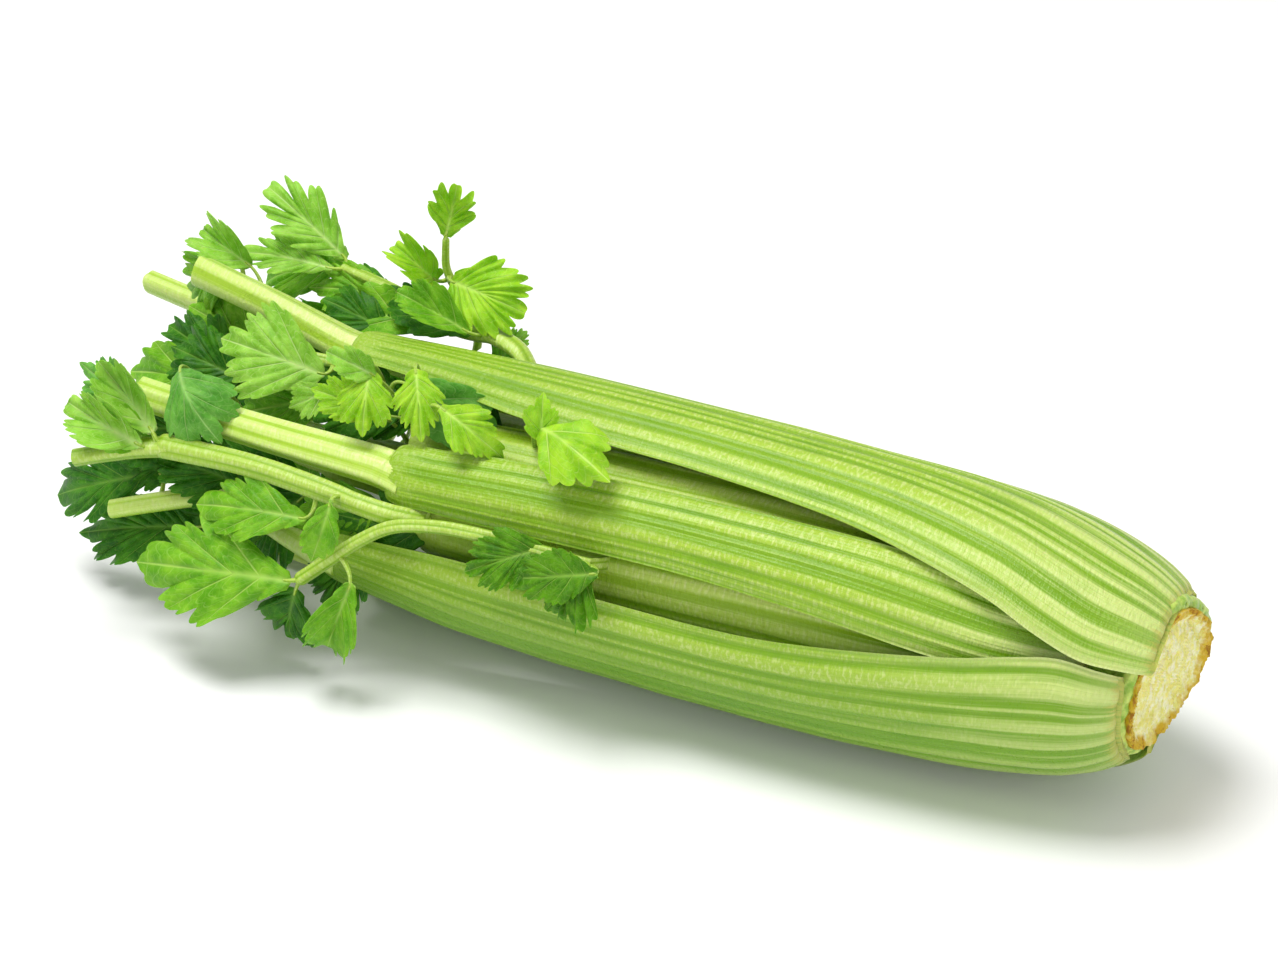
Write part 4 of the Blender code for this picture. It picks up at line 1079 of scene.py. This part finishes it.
def build_leaves(lines, stem_material, materials):
    """The extra leaves, then every CAD leaf, each with its stem."""
    slots = {shade: "dark_leaf" if shade in DARK_SHADES else "bright_leaf" for shade in materials}
    for seed, (name, row) in enumerate(EXTRA_LEAVES.items(), EXTRA_SEED):
        anchor, foot, tip, facing, half_width, bend, fold, shade, *margin = row
        low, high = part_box(anchor)
        middle = np.array((low + high) / 2)
        foot, tip = (middle + np.array(offset) * MM for offset in (foot, tip))
        rings = blade_rings(foot, tip, facing, half_width * MM, bend, fold)
        leaf(name, rings, materials[shade], slots[shade], seed, *margin)
        petiole("petiole_" + name, rings, lines, stem_material, PETIOLE)
    for seed, (node, (shade, lobes, cut, style)) in enumerate(CAD_LEAVES.items()):
        rings = from_edge(read_rings(node, LEAF_RING[0], end_size), LEAF_RING[1])
        leaf("fine_" + node, rings, materials[shade], slots[shade], seed, lobes, cut, node=node, **style)
        thick = THICK_PETIOLE if "midrib" in style else PETIOLE
        petiole("petiole_" + node, rings, lines, stem_material, thick)


def build_head():
    skins = {name: stalk_material(name + "_skin", *colours) for name, colours in STALK_COLOURS.items()}
    cut = cut_material()
    leaves = {shade: leaf_material(*row) for shade, row in LEAF_COLOURS.items()}
    build_stalks(skins["stalk"], skins["inner"], skins["heart"])
    lines = build_stems(skins["stem"], skins["stub"], cut)
    build_leaves(lines, skins["stem"], leaves)
    collar(*crown(crown_material()), collar_material())


# ---------------------------------------------------------------- floor, light and camera

def place_in_scene(name, data, location, back):
    """Adds a camera or lamp that looks the opposite way to `back`."""
    piece = bpy.data.objects.new(name, data)
    piece.location = location
    piece.rotation_mode = "QUATERNION"
    piece.rotation_quaternion = back.to_track_quat("Z", "Y")
    bpy.context.scene.collection.objects.link(piece)
    return piece


def build_stage():
    mesh = bpy.data.meshes.new("floor")
    corners = [(x * FLOOR_HALF, y * FLOOR_HALF, 0) for x, y in ((-1, -1), (1, -1), (1, 1), (-1, 1))]
    mesh.from_pydata(corners, [], [(0, 1, 2, 3)])
    mesh.materials.append(floor_material())
    floor = bpy.data.objects.new("floor", mesh)
    floor.location.z = -FLOOR_DROP
    bpy.context.scene.collection.objects.link(floor)
    world = bpy.data.worlds.new("studio")
    world.use_nodes = True
    world.node_tree.nodes["Background"].inputs["Color"].default_value = (1.0, 1.0, 1.0, 1.0)
    world.node_tree.nodes["Background"].inputs["Strength"].default_value = WORLD_LIGHT
    bpy.context.scene.world = world
    bpy.context.scene.view_settings.view_transform = "Standard"
    for name, (place, width, power) in LAMPS.items():
        light = bpy.data.lights.new(name, "AREA")
        light.size, light.energy = width, power
        place_in_scene(name, light, Vector(place), Vector(place) - LAMP_AIM)


def build_camera():
    data = bpy.data.cameras.new("camera")
    data.lens, data.sensor_width = CAMERA_LENS, CAMERA_SENSOR
    data.clip_start, data.clip_end = 0.05, 30
    level = math.cos(CAMERA_RISE)
    back = Vector((math.sin(CAMERA_TURN) * level, -math.cos(CAMERA_TURN) * level, math.sin(CAMERA_RISE)))
    camera = place_in_scene("camera", data, CAMERA_AIM + back * CAMERA_DISTANCE, back)
    bpy.context.scene.camera = camera


build_head()
build_stage()
build_camera()
